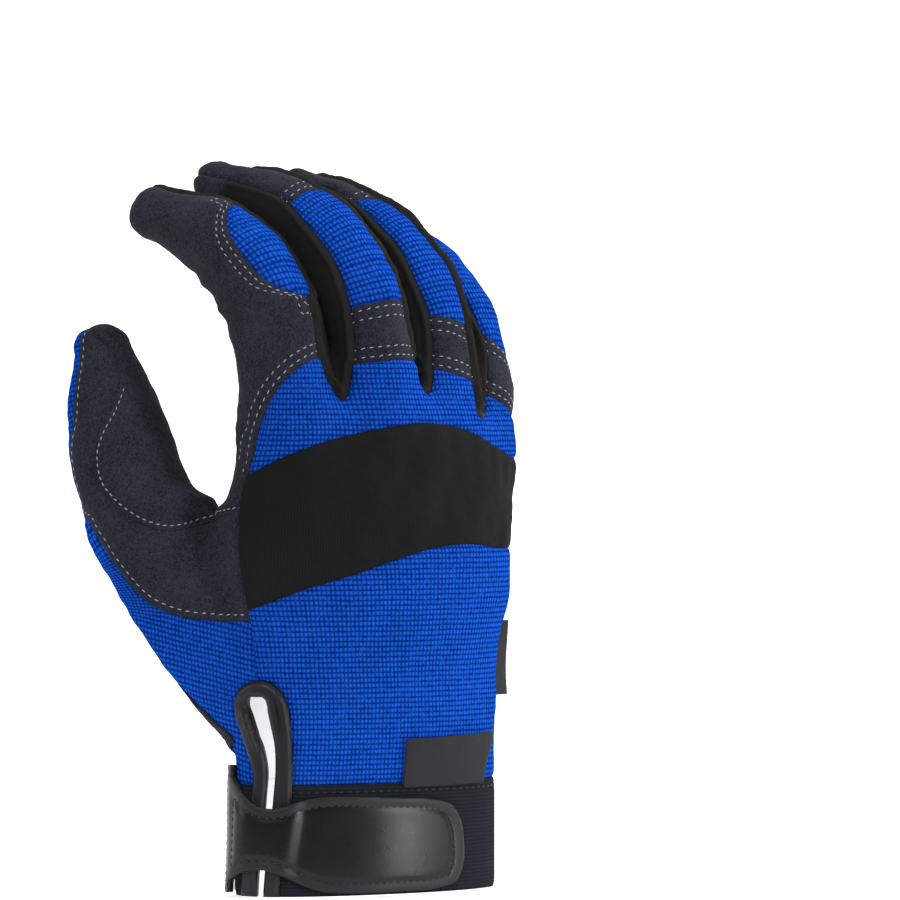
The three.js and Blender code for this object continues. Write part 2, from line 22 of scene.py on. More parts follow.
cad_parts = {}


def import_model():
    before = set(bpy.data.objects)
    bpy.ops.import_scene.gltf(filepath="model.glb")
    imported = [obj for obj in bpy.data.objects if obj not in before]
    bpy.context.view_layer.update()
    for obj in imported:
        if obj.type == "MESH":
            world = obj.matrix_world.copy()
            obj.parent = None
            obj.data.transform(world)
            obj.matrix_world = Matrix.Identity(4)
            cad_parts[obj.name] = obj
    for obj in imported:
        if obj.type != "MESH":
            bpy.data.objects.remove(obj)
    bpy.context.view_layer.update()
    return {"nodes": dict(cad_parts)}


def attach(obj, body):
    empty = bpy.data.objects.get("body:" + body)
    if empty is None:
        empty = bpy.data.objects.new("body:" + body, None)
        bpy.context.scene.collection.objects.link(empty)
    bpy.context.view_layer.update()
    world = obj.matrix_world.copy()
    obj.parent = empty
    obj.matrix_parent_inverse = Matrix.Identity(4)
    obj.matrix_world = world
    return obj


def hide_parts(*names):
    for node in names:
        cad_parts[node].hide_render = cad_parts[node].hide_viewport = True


LOG = logging.getLogger("glove")
Array = np.ndarray
MM = 0.001
BACK_VIEW = math.radians(-24.0)
PALM_VIEW = math.radians(186.0)
CLEAR = 1e-4
SHORTEST_LINE = 6
UP = np.array([0.0, 0.0, 1.0])


class Finish(Enum):
    """The finishes of the glove, by the record's material slot."""

    BLUE = "blue_knit"
    SUEDE = "suede"
    BAND = "stretch_band"
    STRETCH = "stretch_strip"
    ELASTIC = "elastic"
    LEATHER = "leather"
    LABEL = "woven_label"


class ClothMap(Enum):
    """Which part of the hand gives a panel its cloth directions."""

    PALM = "palm"
    INDEX = "index"
    MIDDLE = "middle"
    RING = "ring"
    LITTLE = "little"
    THUMB = "thumb"


def view_right(turn: float) -> Array:
    """The direction that lies to the right in an upright view turned round +Z."""
    return np.array([math.cos(turn), math.sin(turn), 0.0])


def view_depth(turn: float) -> Array:
    """The direction that such a view looks along."""
    return np.array([-math.sin(turn), math.cos(turn), 0.0])


def ease(value: Array, low: float, high: float) -> Array:
    """A smooth step from 0 at low to 1 at high."""
    share = np.clip((value - low) / (high - low), 0.0, 1.0)
    return share * share * (3.0 - 2.0 * share)


def smooth_rows(rows: Sequence[Sequence[float]], at: Array) -> Array:
    """Smooth values between the rows of a table.

    Args:
        rows: rows whose first column is the key, in rising order.
        at: the keys to read the table at.

    Returns:
        One row of the other columns for each key, on a cubic through the table.
    """
    table = np.asarray(rows, dtype=float)
    keys, values = table[:, 0], table[:, 1:]
    slope = np.gradient(values, keys, axis=0)
    at = np.clip(at, keys[0], keys[-1])
    index = np.clip(np.searchsorted(keys, at, side="right") - 1, 0, len(keys) - 2)
    span = keys[index + 1] - keys[index]
    t = ((at - keys[index]) / span)[..., None]
    span = span[..., None]
    low, high = values[index], values[index + 1]
    return ((2 * t**3 - 3 * t**2 + 1) * low + (t**3 - 2 * t**2 + t) * span * slope[index]
            + (3 * t**2 - 2 * t**3) * high + (t**3 - t**2) * span * slope[index + 1])


def smooth_line(points: Sequence[Sequence[float]], steps: int = 8) -> Array:
    """A rounded polyline through the given corners.

    Args:
        points: the corners, one row each.
        steps: points made between two corners.

    Returns:
        The points of the rounded line.
    """
    corners = np.asarray(points, dtype=float)
    lengths = np.r_[0.0, np.cumsum(np.linalg.norm(np.diff(corners, axis=0), axis=1))]
    at = np.concatenate([np.linspace(a, b, steps, endpoint=False)
                         for a, b in zip(lengths[:-1], lengths[1:])] + [lengths[-1:]])
    return smooth_rows(np.c_[lengths, corners], at)


def smooth_union(a: Array, b: Array, blend: Array | float) -> Array:
    """The union of two distance fields with a rounded inner corner."""
    share = np.clip(0.5 + 0.5 * (b - a) / blend, 0.0, 1.0)
    return b * (1 - share) + a * share - blend * share * (1 - share)


def polygon_inside(points: Array, corners: Array) -> Array:
    """Signed distance to a flat outline, positive inside.

    Args:
        points: (n, 2) places to test.
        corners: (m, 2) corners of the closed outline.

    Returns:
        The distance to the outline for each point, negative outside.
    """
    nearest = np.full(len(points), np.inf)
    inside = np.zeros(len(points), dtype=bool)
    for start, end in zip(corners, np.roll(corners, -1, axis=0)):
        edge = end - start
        to_point = points - start
        share = np.clip(to_point @ edge / max(edge @ edge, 1e-12), 0.0, 1.0)
        gap = to_point - share[:, None] * edge
        nearest = np.minimum(nearest, (gap**2).sum(1))
        crosses = (start[1] > points[:, 1]) != (end[1] > points[:, 1])
        rise = edge[1] if abs(edge[1]) > 1e-12 else 1e-12
        at = start[0] + (points[:, 1] - start[1]) / rise * edge[0]
        inside ^= crosses & (points[:, 0] < at)
    return np.where(inside, 1.0, -1.0) * np.sqrt(nearest)


@dataclass
class Digit:
    """A finger or the thumb: its centre line and half sizes from root to tip."""

    name: str
    centres: Array
    along: Array
    side: Array
    back: Array
    stations: Array
    half_side: Array
    half_back: Array
    power: float = 2.22

    def measure(self, points: Array) -> dict[str, Array]:
        """Places points in the digit's own terms.

        Args:
            points: (n, 3) places.

        Returns:
            distance to the skin, station along the digit, angle round it in degrees
            (0 is its thumb side, 90 its back) and radius there.
        """
        best = np.full(len(points), np.inf)
        index = np.zeros(len(points), dtype=int)
        for i, centre in enumerate(self.centres):
            gap = ((points - centre) ** 2).sum(1)
            closer = gap < best
            best[closer] = gap[closer]
            index[closer] = i
        offset = points - self.centres[index]
        forward = (offset * self.along[index]).sum(1)
        last = len(self.centres) - 1
        beyond = ((index == last) & (forward > 0)) | ((index == 0) & (forward < 0))
        radial = offset - forward[:, None] * self.along[index]
        across = (radial * self.side[index]).sum(1)
        up = (radial * self.back[index]).sum(1)
        step = self.stations[1] - self.stations[0]
        station = self.stations[index] + np.where(beyond, forward, np.clip(forward, -step, step))
        half_side = np.interp(station, self.stations, self.half_side)
        half_back = np.interp(station, self.stations, self.half_back)
        cap = np.where(beyond, np.abs(forward) / np.minimum(half_side, half_back), 0.0)
        norm = ((np.abs(across) / half_side) ** self.power + (np.abs(up) / half_back) ** self.power
                + cap**self.power) ** (1 / self.power)
        reach = np.sqrt(across**2 + up**2 + np.where(beyond, forward, 0.0) ** 2)
        norm = np.maximum(norm, 1e-3)
        distance = np.maximum(reach * (1 - 1 / norm), -half_back)
        return {
            "distance": distance,
            "station": station,
            "angle": np.degrees(np.arctan2(up, across)),
            "radius": 0.5 * (half_side + half_back),
        }


@dataclass
class Skin:
    """A triangle mesh with values on its points."""

    points: Array
    normals: Array
    faces: Array
    values: dict[str, Array] = field(default_factory=dict)

    def select(self, faces: Array) -> "Skin":
        """The part of the skin that the given faces cover.

        Args:
            faces: (m, 3) corner numbers of the faces to keep.

        Returns:
            A skin of those faces and their own points.
        """
        used, flat = np.unique(faces, return_inverse=True)
        return Skin(self.points[used], self.normals[used], flat.reshape(-1, 3),
                    {k: v[used] for k, v in self.values.items()})

    def split(self, inside: Array) -> tuple["Skin", "Skin"]:
        """Cuts the skin where a value on its points passes zero.

        Args:
            inside: one number a point, positive on the side to keep.

        Returns:
            The positive part and the other part.
        """
        g = np.where(np.abs(inside) < CLEAR, CLEAR, inside)
        above = g > 0
        count = above[self.faces].sum(1)
        mixed = self.faces[(count == 1) | (count == 2)]
        lone_above = above[mixed].sum(1) == 1
        first = np.argmax(above[mixed] == lone_above[:, None], axis=1)
        order = (first[:, None] + np.arange(3)) % 3
        a, b, c = np.take_along_axis(mixed, order, axis=1).T
        pairs = np.sort(np.stack([np.r_[a, a], np.r_[b, c]], axis=1), axis=1)
        edges, where = np.unique(pairs, axis=0, return_inverse=True)
        where = where.reshape(-1)
        share = g[edges[:, 0]] / (g[edges[:, 0]] - g[edges[:, 1]])

        def blend(values: Array) -> Array:
            """Values with those of the new edge points added.

            Args:
                values: one value or row for each point.

            Returns:
                The values with one more for each cut edge.
            """
            t = share.reshape((-1,) + (1,) * (values.ndim - 1))
            new = values[edges[:, 0]] * (1 - t) + values[edges[:, 1]] * t
            return np.concatenate([values, new])

        grown = Skin(blend(self.points), blend(self.normals), self.faces,
                     {k: blend(v) for k, v in self.values.items()})
        lengths = np.linalg.norm(grown.normals, axis=1, keepdims=True)
        grown.normals = grown.normals / np.maximum(lengths, 1e-9)
        ab = len(self.points) + where[:len(a)]
        ac = len(self.points) + where[len(a):]
        tips = np.stack([a, ab, ac], axis=1)
        rest = np.concatenate([np.stack([ab, b, c], axis=1), np.stack([ab, c, ac], axis=1)])
        rest_above = np.r_[~lone_above, ~lone_above]
        kept = np.concatenate([self.faces[count == 3], tips[lone_above], rest[rest_above]])
        left = np.concatenate([self.faces[count == 0], tips[~lone_above], rest[~rest_above]])
        return grown.select(kept), grown.select(left)

    def rim_edges(self) -> Array:
        """The directed edges that only one face uses.

        Returns:
            (n, 2) point numbers, in the direction of their face.
        """
        edges = np.concatenate([self.faces[:, pair] for pair in ([0, 1], [1, 2], [2, 0])])
        key = np.sort(edges, axis=1)
        _, where, count = np.unique(key, axis=0, return_inverse=True, return_counts=True)
        return edges[count[where.reshape(-1)] == 1]

    def rim_distance(self) -> Array:
        """How far each point lies from the skin's open edge.

        Returns:
            One distance for each point, in millimetres.
        """
        rim = np.unique(self.rim_edges())
        tree = KDTree(len(rim))
        for i in rim:
            tree.insert(self.points[i], int(i))
        tree.balance()
        return np.array([tree.find(p)[2] for p in self.points])

    def parts(self, least: int = 60) -> tuple["Skin", "Skin"]:
        """The skin's own pieces of at least so many faces, and the crumbs that are left.

        Args:
            least: the fewest faces of a piece that is kept.

        Returns:
            The kept pieces together, and the crumbs.
        """
        label = np.arange(len(self.points))
        while True:
            low = label[self.faces].min(1)
            new = label.copy()
            for k in range(3):
                np.minimum.at(new, self.faces[:, k], low)
            new = new[new]
            if (new == label).all():
                break
            label = new
        part = label[self.faces[:, 0]]
        names, sizes = np.unique(part, return_counts=True)
        large = np.isin(part, names[sizes >= least])
        return self.select(self.faces[large]), self.select(self.faces[~large])

    def joined(self, other: "Skin") -> "Skin":
        """This skin with another one's faces, sharing the points at the same places.

        Args:
            other: the skin to add.

        Returns:
            One skin with the values that both have.
        """
        if not len(other.faces):
            return self
        shared = [key for key in self.values if key in other.values]
        points = np.concatenate([self.points, other.points])
        _, first, where = np.unique(np.round(points, 5), axis=0, return_index=True,
                                    return_inverse=True)
        faces = np.concatenate([self.faces, other.faces + len(self.points)])
        normals = np.concatenate([self.normals, other.normals])
        values = {key: np.concatenate([self.values[key], other.values[key]])[first]
                  for key in shared}
        return Skin(points[first], normals[first], where.reshape(-1)[faces], values)


def level_lines(skin: Skin, level: Array, keep: Array) -> list[tuple[Array, Array]]:
    """Lines on the skin where a value passes zero.

    Args:
        skin: the skin to draw on.
        level: the value on each point.
        keep: a value on each point; the line is kept where this is positive.

    Returns:
        For each line its points and the skin's normals there.
    """
    above = level > 0
    faces = skin.faces[(above[skin.faces].sum(1) % 3) != 0]
    faces = faces[(keep[faces] > 0).all(1)]
    links: dict[tuple[int, int], list[tuple[int, int]]] = {}
    for face in faces:
        cut = []
        for i in range(3):
            p, q = int(face[i]), int(face[(i + 1) % 3])
            if above[p] != above[q]:
                cut.append((min(p, q), max(p, q)))
        links.setdefault(cut[0], []).append(cut[1])
        links.setdefault(cut[1], []).append(cut[0])

    def place(edge: tuple[int, int]) -> tuple[Array, Array]:
        """Where the value passes zero on an edge.

        Args:
            edge: the numbers of its two points.

        Returns:
            The place and the normal there.
        """
        p, q = edge
        t = level[p] / (level[p] - level[q])
        return (skin.points[p] * (1 - t) + skin.points[q] * t,
                skin.normals[p] * (1 - t) + skin.normals[q] * t)

    lines = []
    unused = set(links)
    starts = [edge for edge in links if len(links[edge]) == 1]
    while unused:
        edge = next((e for e in starts if e in unused), None) or next(iter(unused))
        chain = [edge]
        unused.discard(edge)
        while True:
            after = next((e for e in links[chain[-1]] if e in unused), None)
            if after is None:
                break
            chain.append(after)
            unused.discard(after)
        if len(chain) > SHORTEST_LINE:
            placed = [place(e) for e in chain]
            lines.append((np.array([p for p, _ in placed]), np.array([n for _, n in placed])))
    return lines


@dataclass
class HandForm:
    """The filled glove's outer form, as distance fields."""

    voxel: float = 0.95
    grid_low: tuple[float, float] = (-92.0, -30.0)
    grid_high: tuple[float, float, float] = (62.0, 66.0, 238.0)
    grid_margin: float = 10.0
    field_reach: float = 8.0
    palm_power: float = 2.35
    palm_floor: float = -18.0
    arch_level: float = 0.35
    hem_below: float = 4.0
    top_blend: float = 7.0
    thumb_blend_heights: tuple[float, float] = (96.0, 118.0)
    touch_heights: tuple[float, float] = (158.0, 178.0)
    thumb_blend: float = 9.0
    crotch_blend: float = 6.0
    web_blend: float = 6.0
    touch_blend: float = 0.7
    palm_rows: tuple[tuple[float, ...], ...] = (
        # height, half width, back, palm, centre, arch, tilt
        (-8.0, 43.5, 15.0, 14.0, 0.5, 2.0, 0.0),
        (0.0, 43.5, 15.0, 14.0, 0.5, 2.0, 0.0),
        (34.0, 43.5, 15.0, 14.0, 0.5, 2.0, 0.0),
        (50.0, 43.2, 17.0, 17.0, 1.2, 3.0, 1.0),
        (74.0, 44.6, 19.0, 19.0, 1.6, 5.0, 2.0),
        (97.0, 49.0, 20.0, 20.0, 2.8, 7.0, 3.0),
        (120.0, 49.2, 19.0, 17.0, 3.6, 10.0, 4.0),
        (142.0, 47.6, 16.0, 14.0, 6.6, 12.0, 5.0),
        (156.0, 45.0, 12.0, 11.0, 5.6, 12.5, 5.5),
    )
    web_rows: tuple[tuple[float, float], ...] = (
        # across, height of the crotch
        (-60.0, 150.0), (-30.0, 153.0), (-12.0, 155.0), (14.0, 157.0), (36.0, 151.0), (60.0, 142.0),
    )
    # root x, y, z, length, half, lean at root and tip, curl, facing
    finger_rows: dict[str, tuple[float, ...]] = field(default_factory=lambda: {
        "index": (-27.2, -1.7, 146.0, 103.0, 14.0, 5.4, 73.4, 30.0, -26.0),
        "middle": (1.4, -6.4, 148.0, 117.0, 12.7, 7.2, 74.5, 30.8, -8.0),
        "ring": (26.2, 1.0, 146.0, 109.5, 12.2, 5.8, 66.8, 31.4, 18.0),
        "little": (44.8, 12.7, 138.0, 98.5, 11.2, 3.2, 60.5, 23.4, 45.0),
    })
    taper: tuple[tuple[float, float], ...] = (
        (-0.2, 0.6), (-0.1, 0.86), (0.0, 1.03), (0.12, 1.06), (0.3, 1.04), (0.55, 0.98),
        (0.7, 0.87), (0.8, 0.74), (0.88, 0.63), (1.0, 0.53),
    )
    thumb_rows: tuple[tuple[float, ...], ...] = (
        # centre x, y, z, half width, half depth
        (-22.0, 6.0, 42.0, 9.0, 9.0),
        (-31.0, 10.0, 57.0, 13.5, 12.0),
        (-40.5, 15.0, 74.0, 18.0, 14.5),
        (-50.0, 21.0, 92.0, 19.7, 15.0),
        (-58.2, 27.0, 108.0, 19.5, 14.5),
        (-64.0, 32.5, 121.0, 18.5, 13.5),
        (-66.7, 37.0, 133.0, 17.3, 12.5),
        (-68.0, 42.0, 146.0, 15.6, 11.5),
        (-69.2, 46.0, 158.5, 13.2, 10.0),
        (-70.4, 49.5, 170.5, 9.0, 8.0),
    )
    thumb_facing: float = -10.0
    thumb_power: float = 2.1
    root_share: float = -0.16
    curl_shares: tuple[float, float] = (0.08, 0.88)
    finger_flatness: float = 0.98

    def finger(self, name: str, count: int = 56) -> Digit:
        """Builds one finger's centre line from its row.

        Args:
            name: the finger's name in finger_rows.
            count: points on the centre line.

        Returns:
            The finger.
        """
        x, y, z, length, half, lean0, lean1, curl, facing = self.finger_rows[name]
        curl, facing = math.radians(curl), math.radians(facing)
        lean = np.array([-math.sin(curl), math.cos(curl), 0.0])
        swing = np.cross(UP, lean)
        back0 = np.array([math.sin(facing), -math.cos(facing), 0.0])
        tip_half = half * self.taper[-1][1]
        share = np.linspace(self.root_share, 1.0 - tip_half / length, count)
        q = ease(share, *self.curl_shares)
        angle = np.radians(lean0 + (lean1 - lean0) * q)[:, None]
        along = np.cos(angle) * UP + np.sin(angle) * lean
        step = (share[1] - share[0]) * length
        moves = 0.5 * (along[1:] + along[:-1]) * step
        centres = np.cumsum(np.r_[np.zeros((1, 3)), moves], axis=0)
        root = np.array([np.interp(0.0, share, centres[:, i]) for i in range(3)])
        centres = centres - root + np.array([x, y, z])
        bent = np.cos(angle) * lean - np.sin(angle) * UP
        back = (back0 @ lean) * bent + (back0 @ swing) * swing
        halves = half * np.interp(share, *np.array(self.taper).T)
        return Digit(name, centres, along, np.cross(back, along), back, share * length,
                     halves, halves * self.finger_flatness)

    def thumb(self, count: int = 64) -> Digit:
        """Builds the thumb's centre line from its rows.

        Args:
            count: points on the centre line.

        Returns:
            The thumb.
        """
        rows = np.array(self.thumb_rows)
        run = np.r_[0.0, np.cumsum(np.linalg.norm(np.diff(rows[:, :3], axis=0), axis=1))]
        at = np.linspace(0.0, run[-1], count)
        dense = smooth_rows(np.c_[run, rows], at)
        along = np.gradient(dense[:, :3], at, axis=0)
        along /= np.linalg.norm(along, axis=1, keepdims=True)
        facing = math.radians(self.thumb_facing)
        back = np.array([math.sin(facing), -math.cos(facing), 0.0])
        back = back - (along @ back)[:, None] * along
        back /= np.linalg.norm(back, axis=1, keepdims=True)
        return Digit("thumb", dense[:, :3], along, np.cross(back, along), back, at,
                     dense[:, 3], dense[:, 4], self.thumb_power)

    def palm_middle(self, points: Array) -> Array:
        """How far each point lies on the back side of the palm's middle surface.

        Args:
            points: (n, 3) places.

        Returns:
            One distance for each place, negative on the palm side.
        """
        half, _, _, centre, arch, tilt = smooth_rows(self.palm_rows, points[:, 2]).T
        across = np.clip((points[:, 0] - centre) / half, -1.0, 1.0)
        return arch * (across**2 - self.arch_level) + tilt * across - points[:, 1]

    def palm_distance(self, points: Array) -> Array:
        """Distance to the palm part's skin, about, in millimetres.

        Args:
            points: (n, 3) places.

        Returns:
            One distance for each place, negative inside.
        """
        half, back, palm, centre, arch, tilt = smooth_rows(self.palm_rows, points[:, 2]).T
        across = (points[:, 0] - centre) / half
        bent = np.clip(across, -1.0, 1.0)
        lift = points[:, 1] - arch * (bent**2 - self.arch_level) - tilt * bent
        reach = np.where(lift > 0, palm, back)
        power = self.palm_power
        a, b = np.abs(across), np.abs(lift) / reach
        norm = np.maximum((a**power + b**power) ** (1 / power), 0.05)
        slope = norm ** (1 - power) * np.hypot(a ** (power - 1) / half, b ** (power - 1) / reach)
        side = np.maximum((norm - 1) / np.maximum(slope, 0.01), self.palm_floor)
        top = points[:, 2] - smooth_rows(self.web_rows, points[:, 0])[:, 0]
        return -smooth_union(-side, -top, self.top_blend)

    def build(self) -> tuple[Skin, dict[str, Digit]]:
        """Makes the whole outer skin.

        Returns:
            The skin, open below the hem, and the digits by name.
        """
        digits = {name: self.finger(name) for name in self.finger_rows}
        digits["thumb"] = self.thumb()
        low = np.array([*self.grid_low, -self.hem_below])
        high = np.array(self.grid_high)
        shape = np.ceil((high - low) / self.voxel).astype(int)
        axes = [low[i] + self.voxel * np.arange(shape[i]) for i in range(3)]

        def block(start: Array, stop: Array) -> tuple[tuple[slice, ...], Array]:
            """The grid cells between two corners and their places.

            Args:
                start: the first cell each way.
                stop: the cell after the last each way.

            Returns:
                The slices of the grid, and the places of their cells.
            """
            cut = tuple(slice(int(a), int(b)) for a, b in zip(start, stop))
            mesh = np.meshgrid(*[axis[c] for axis, c in zip(axes, cut)], indexing="ij")
            return cut, np.stack([m.reshape(-1) for m in mesh], axis=1)

        cut, cells = block(np.zeros(3), shape)
        total = self.palm_distance(cells).reshape(shape).astype(np.float32)
        for name, digit in digits.items():
            pad = digit.half_side.max() + self.grid_margin
            start = (digit.centres.min(0) - pad - low) / self.voxel
            stop = (digit.centres.max(0) + pad - low) / self.voxel + 1
            cut, cells = block(np.clip(start, 0, shape), np.clip(stop, 0, shape))
            distance = digit.measure(cells)["distance"]
            if name == "thumb":
                share = ease(cells[:, 2], *self.thumb_blend_heights)
                blend = self.thumb_blend + self.crotch_blend * share
            else:
                share = ease(cells[:, 2], *self.touch_heights)
                blend = self.web_blend * (1 - share) + self.touch_blend * share
            joined = smooth_union(total[cut].reshape(-1), distance, blend)
            total[cut] = joined.reshape(total[cut].shape)
        reach = self.field_reach
        grid = openvdb.FloatGrid(background=reach)
        grid.copyFromArray(np.ascontiguousarray(np.clip(total, -reach, reach)))
        points, triangles, quads = grid.convertToPolygons(isovalue=0.0, adaptivity=0.0)
        points = points * self.voxel + low
        faces = np.concatenate([np.asarray(triangles).reshape(-1, 3), quads[:, [0, 1, 2]],
                                quads[:, [0, 2, 3]]]).astype(int)
        a, b, c = points[faces[:, 0]], points[faces[:, 1]], points[faces[:, 2]]
        if np.einsum("ij,ij->i", a, np.cross(b, c)).sum() < 0:
            faces = faces[:, ::-1]
        skin = Skin(points, point_normals(points, faces), faces)
        return skin, digits


def point_normals(points: Array, faces: Array) -> Array:
    """Normals on the points, from the faces round them.

    Args:
        points: (n, 3) places.
        faces: (m, 3) corner numbers.

    Returns:
        (n, 3) unit normals.
    """
    a, b, c = points[faces[:, 0]], points[faces[:, 1]], points[faces[:, 2]]
    flat = np.cross(b - a, c - a)
    normals = np.zeros_like(points)
    for k in range(3):
        np.add.at(normals, faces[:, k], flat)
    return normals / np.maximum(np.linalg.norm(normals, axis=1, keepdims=True), 1e-12)


@dataclass(frozen=True)
class Fold:
    """A crease (negative height) or ridge along a line drawn in an upright view."""

    start: tuple[float, float]
    end: tuple[float, float]
    width: float
    height: float
    view: str = "back"

    def lift(self, skin: Skin) -> Array:
        """How far the fold moves each point of the skin outward.

        Args:
            skin: the skin with its measures.

        Returns:
            One height for each point.
        """
        places = np.c_[skin.values[f"{self.view}.u"], skin.points[:, 2]]
        start, line = np.array(self.start), np.subtract(self.end, self.start)
        share = (places - start) @ line / (line @ line)
        gap = np.linalg.norm(places - start - np.clip(share, 0, 1)[:, None] * line, axis=1)
        fade = ease(share, -0.15, 0.3) * ease(1 - share, -0.15, 0.3)
        seen = ease(skin.values[f"{self.view}.seen"], -1.5, 2.0)
        return self.height * fade * seen * np.exp(-((gap / self.width) ** 2))


@dataclass
class Creases:
    """The folds, and the slight unevenness of filled cloth."""

    folds: tuple[Fold, ...] = (
        Fold((-57.0, 198.5), (-46.0, 191.0), 1.7, -1.1),
        Fold((-54.0, 193.0), (-42.0, 188.0), 1.8, 0.9),
        Fold((-51.0, 188.5), (-38.0, 184.5), 1.6, -1.2),
        Fold((-48.5, 182.5), (-36.0, 181.5), 2.0, 0.9),
        Fold((-46.0, 178.0), (-35.0, 178.5), 1.5, -1.0),
        Fold((-42.0, 151.0), (-36.0, 144.0), 1.8, -0.9),
        Fold((-42.0, 140.0), (-37.0, 134.0), 1.6, -0.8),
        Fold((-63.0, 125.5), (-41.0, 118.0), 2.8, 2.6),
        Fold((-63.0, 119.0), (-46.0, 115.5), 1.5, -1.1),
        Fold((-58.0, 130.0), (-52.0, 121.0), 1.5, -1.0),
        Fold((-80.0, 168.0), (-74.0, 160.0), 1.6, -0.9),
        Fold((38.0, 112.0), (45.0, 108.0), 1.6, -0.7),
        Fold((30.0, 150.5), (46.0, 139.0), 1.6, -0.7),
        Fold((22.0, 150.0), (38.0, 141.0), 1.8, -0.4),
    )
    palm_folds: tuple[Fold, ...] = (
        Fold((30.0, 124.0), (13.0, 104.0), 2.4, -1.0, "front"),
        Fold((13.0, 104.0), (5.0, 72.0), 2.4, -0.8, "front"),
        Fold((-44.0, 116.0), (-6.0, 128.0), 2.2, -0.8, "front"),
        Fold((-38.0, 100.0), (14.0, 118.0), 2.2, -0.7, "front"),
        Fold((-30.0, 44.0), (6.0, 47.0), 2.0, -0.5, "front"),
    )
    joints: tuple[float, ...] = (0.16, 0.4, 0.66)
    joint_depth: float = 1.0
    joint_width: float = 1.5
    joint_slant: float = 0.02
    joint_lengths: tuple[tuple[str, float], ...] = (
        ("index", 103.0), ("middle", 117.0), ("ring", 109.0), ("little", 98.0),
    )
    waves: tuple[tuple[float, float], ...] = (
        # length, height
        (19.0, 0.156), (8.5, 0.066), (4.2, 0.027),
    )
    waves_each: int = 5
    smooth_below: tuple[float, float] = (36.0, 48.0)
    calm_below: tuple[float, float] = (30.0, 60.0)
    calm_share: float = 0.25
    seed: int = 11

    def joint_lift(self, skin: Skin, name: str, length: float) -> Array:
        """The creases where a finger bends, on its palm side.

        Args:
            skin: the skin with its measures.
            name: the finger's name.
            length: the length that the joints divide.

        Returns:
            One height for each point.
        """
        turn = (skin.values[f"{name}.angle"] + 270.0) % 360.0 - 180.0
        inner = ease(75.0 - np.abs(turn), 0.0, 35.0)
        close = ease(3.0 - np.abs(skin.values[f"{name}.distance"]), 0.0, 2.0)
        station = skin.values[f"{name}.station"]
        total = np.zeros(len(station))
        for share in self.joints:
            off = (station - share * length - self.joint_slant * turn) / self.joint_width
            total += np.exp(-(off**2)) - 0.5 * np.exp(-((np.abs(off) - 1.9) ** 2))
        return -self.joint_depth * inner * close * total

    def lift(self, skin: Skin) -> Array:
        """The outward movement of each point.

        Args:
            skin: the skin with its measures.

        Returns:
            One height for each point.
        """
        total = sum(fold.lift(skin) for fold in self.folds + self.palm_folds)
        for name, length in self.joint_lengths:
            total = total + self.joint_lift(skin, name, length)
        rng = np.random.default_rng(self.seed)
        loose = ease(skin.points[:, 2], *self.smooth_below)
        for length, height in self.waves:
            for _ in range(self.waves_each):
                way = rng.normal(size=3)
                way *= 2 * math.pi / (length * np.linalg.norm(way))
                wave = np.sin(skin.points @ way + rng.uniform(0, 6.28))
                total = total + loose * height * wave
        calm = ease(skin.points[:, 2], *self.calm_below)
        return total * (self.calm_share + (1.0 - self.calm_share) * calm)

    def apply(self, skin: Skin) -> None:
        """Moves the skin's points and renews its normals."""
        skin.points = skin.points + skin.normals * self.lift(skin)[:, None]
        skin.normals = point_normals(skin.points, skin.faces)


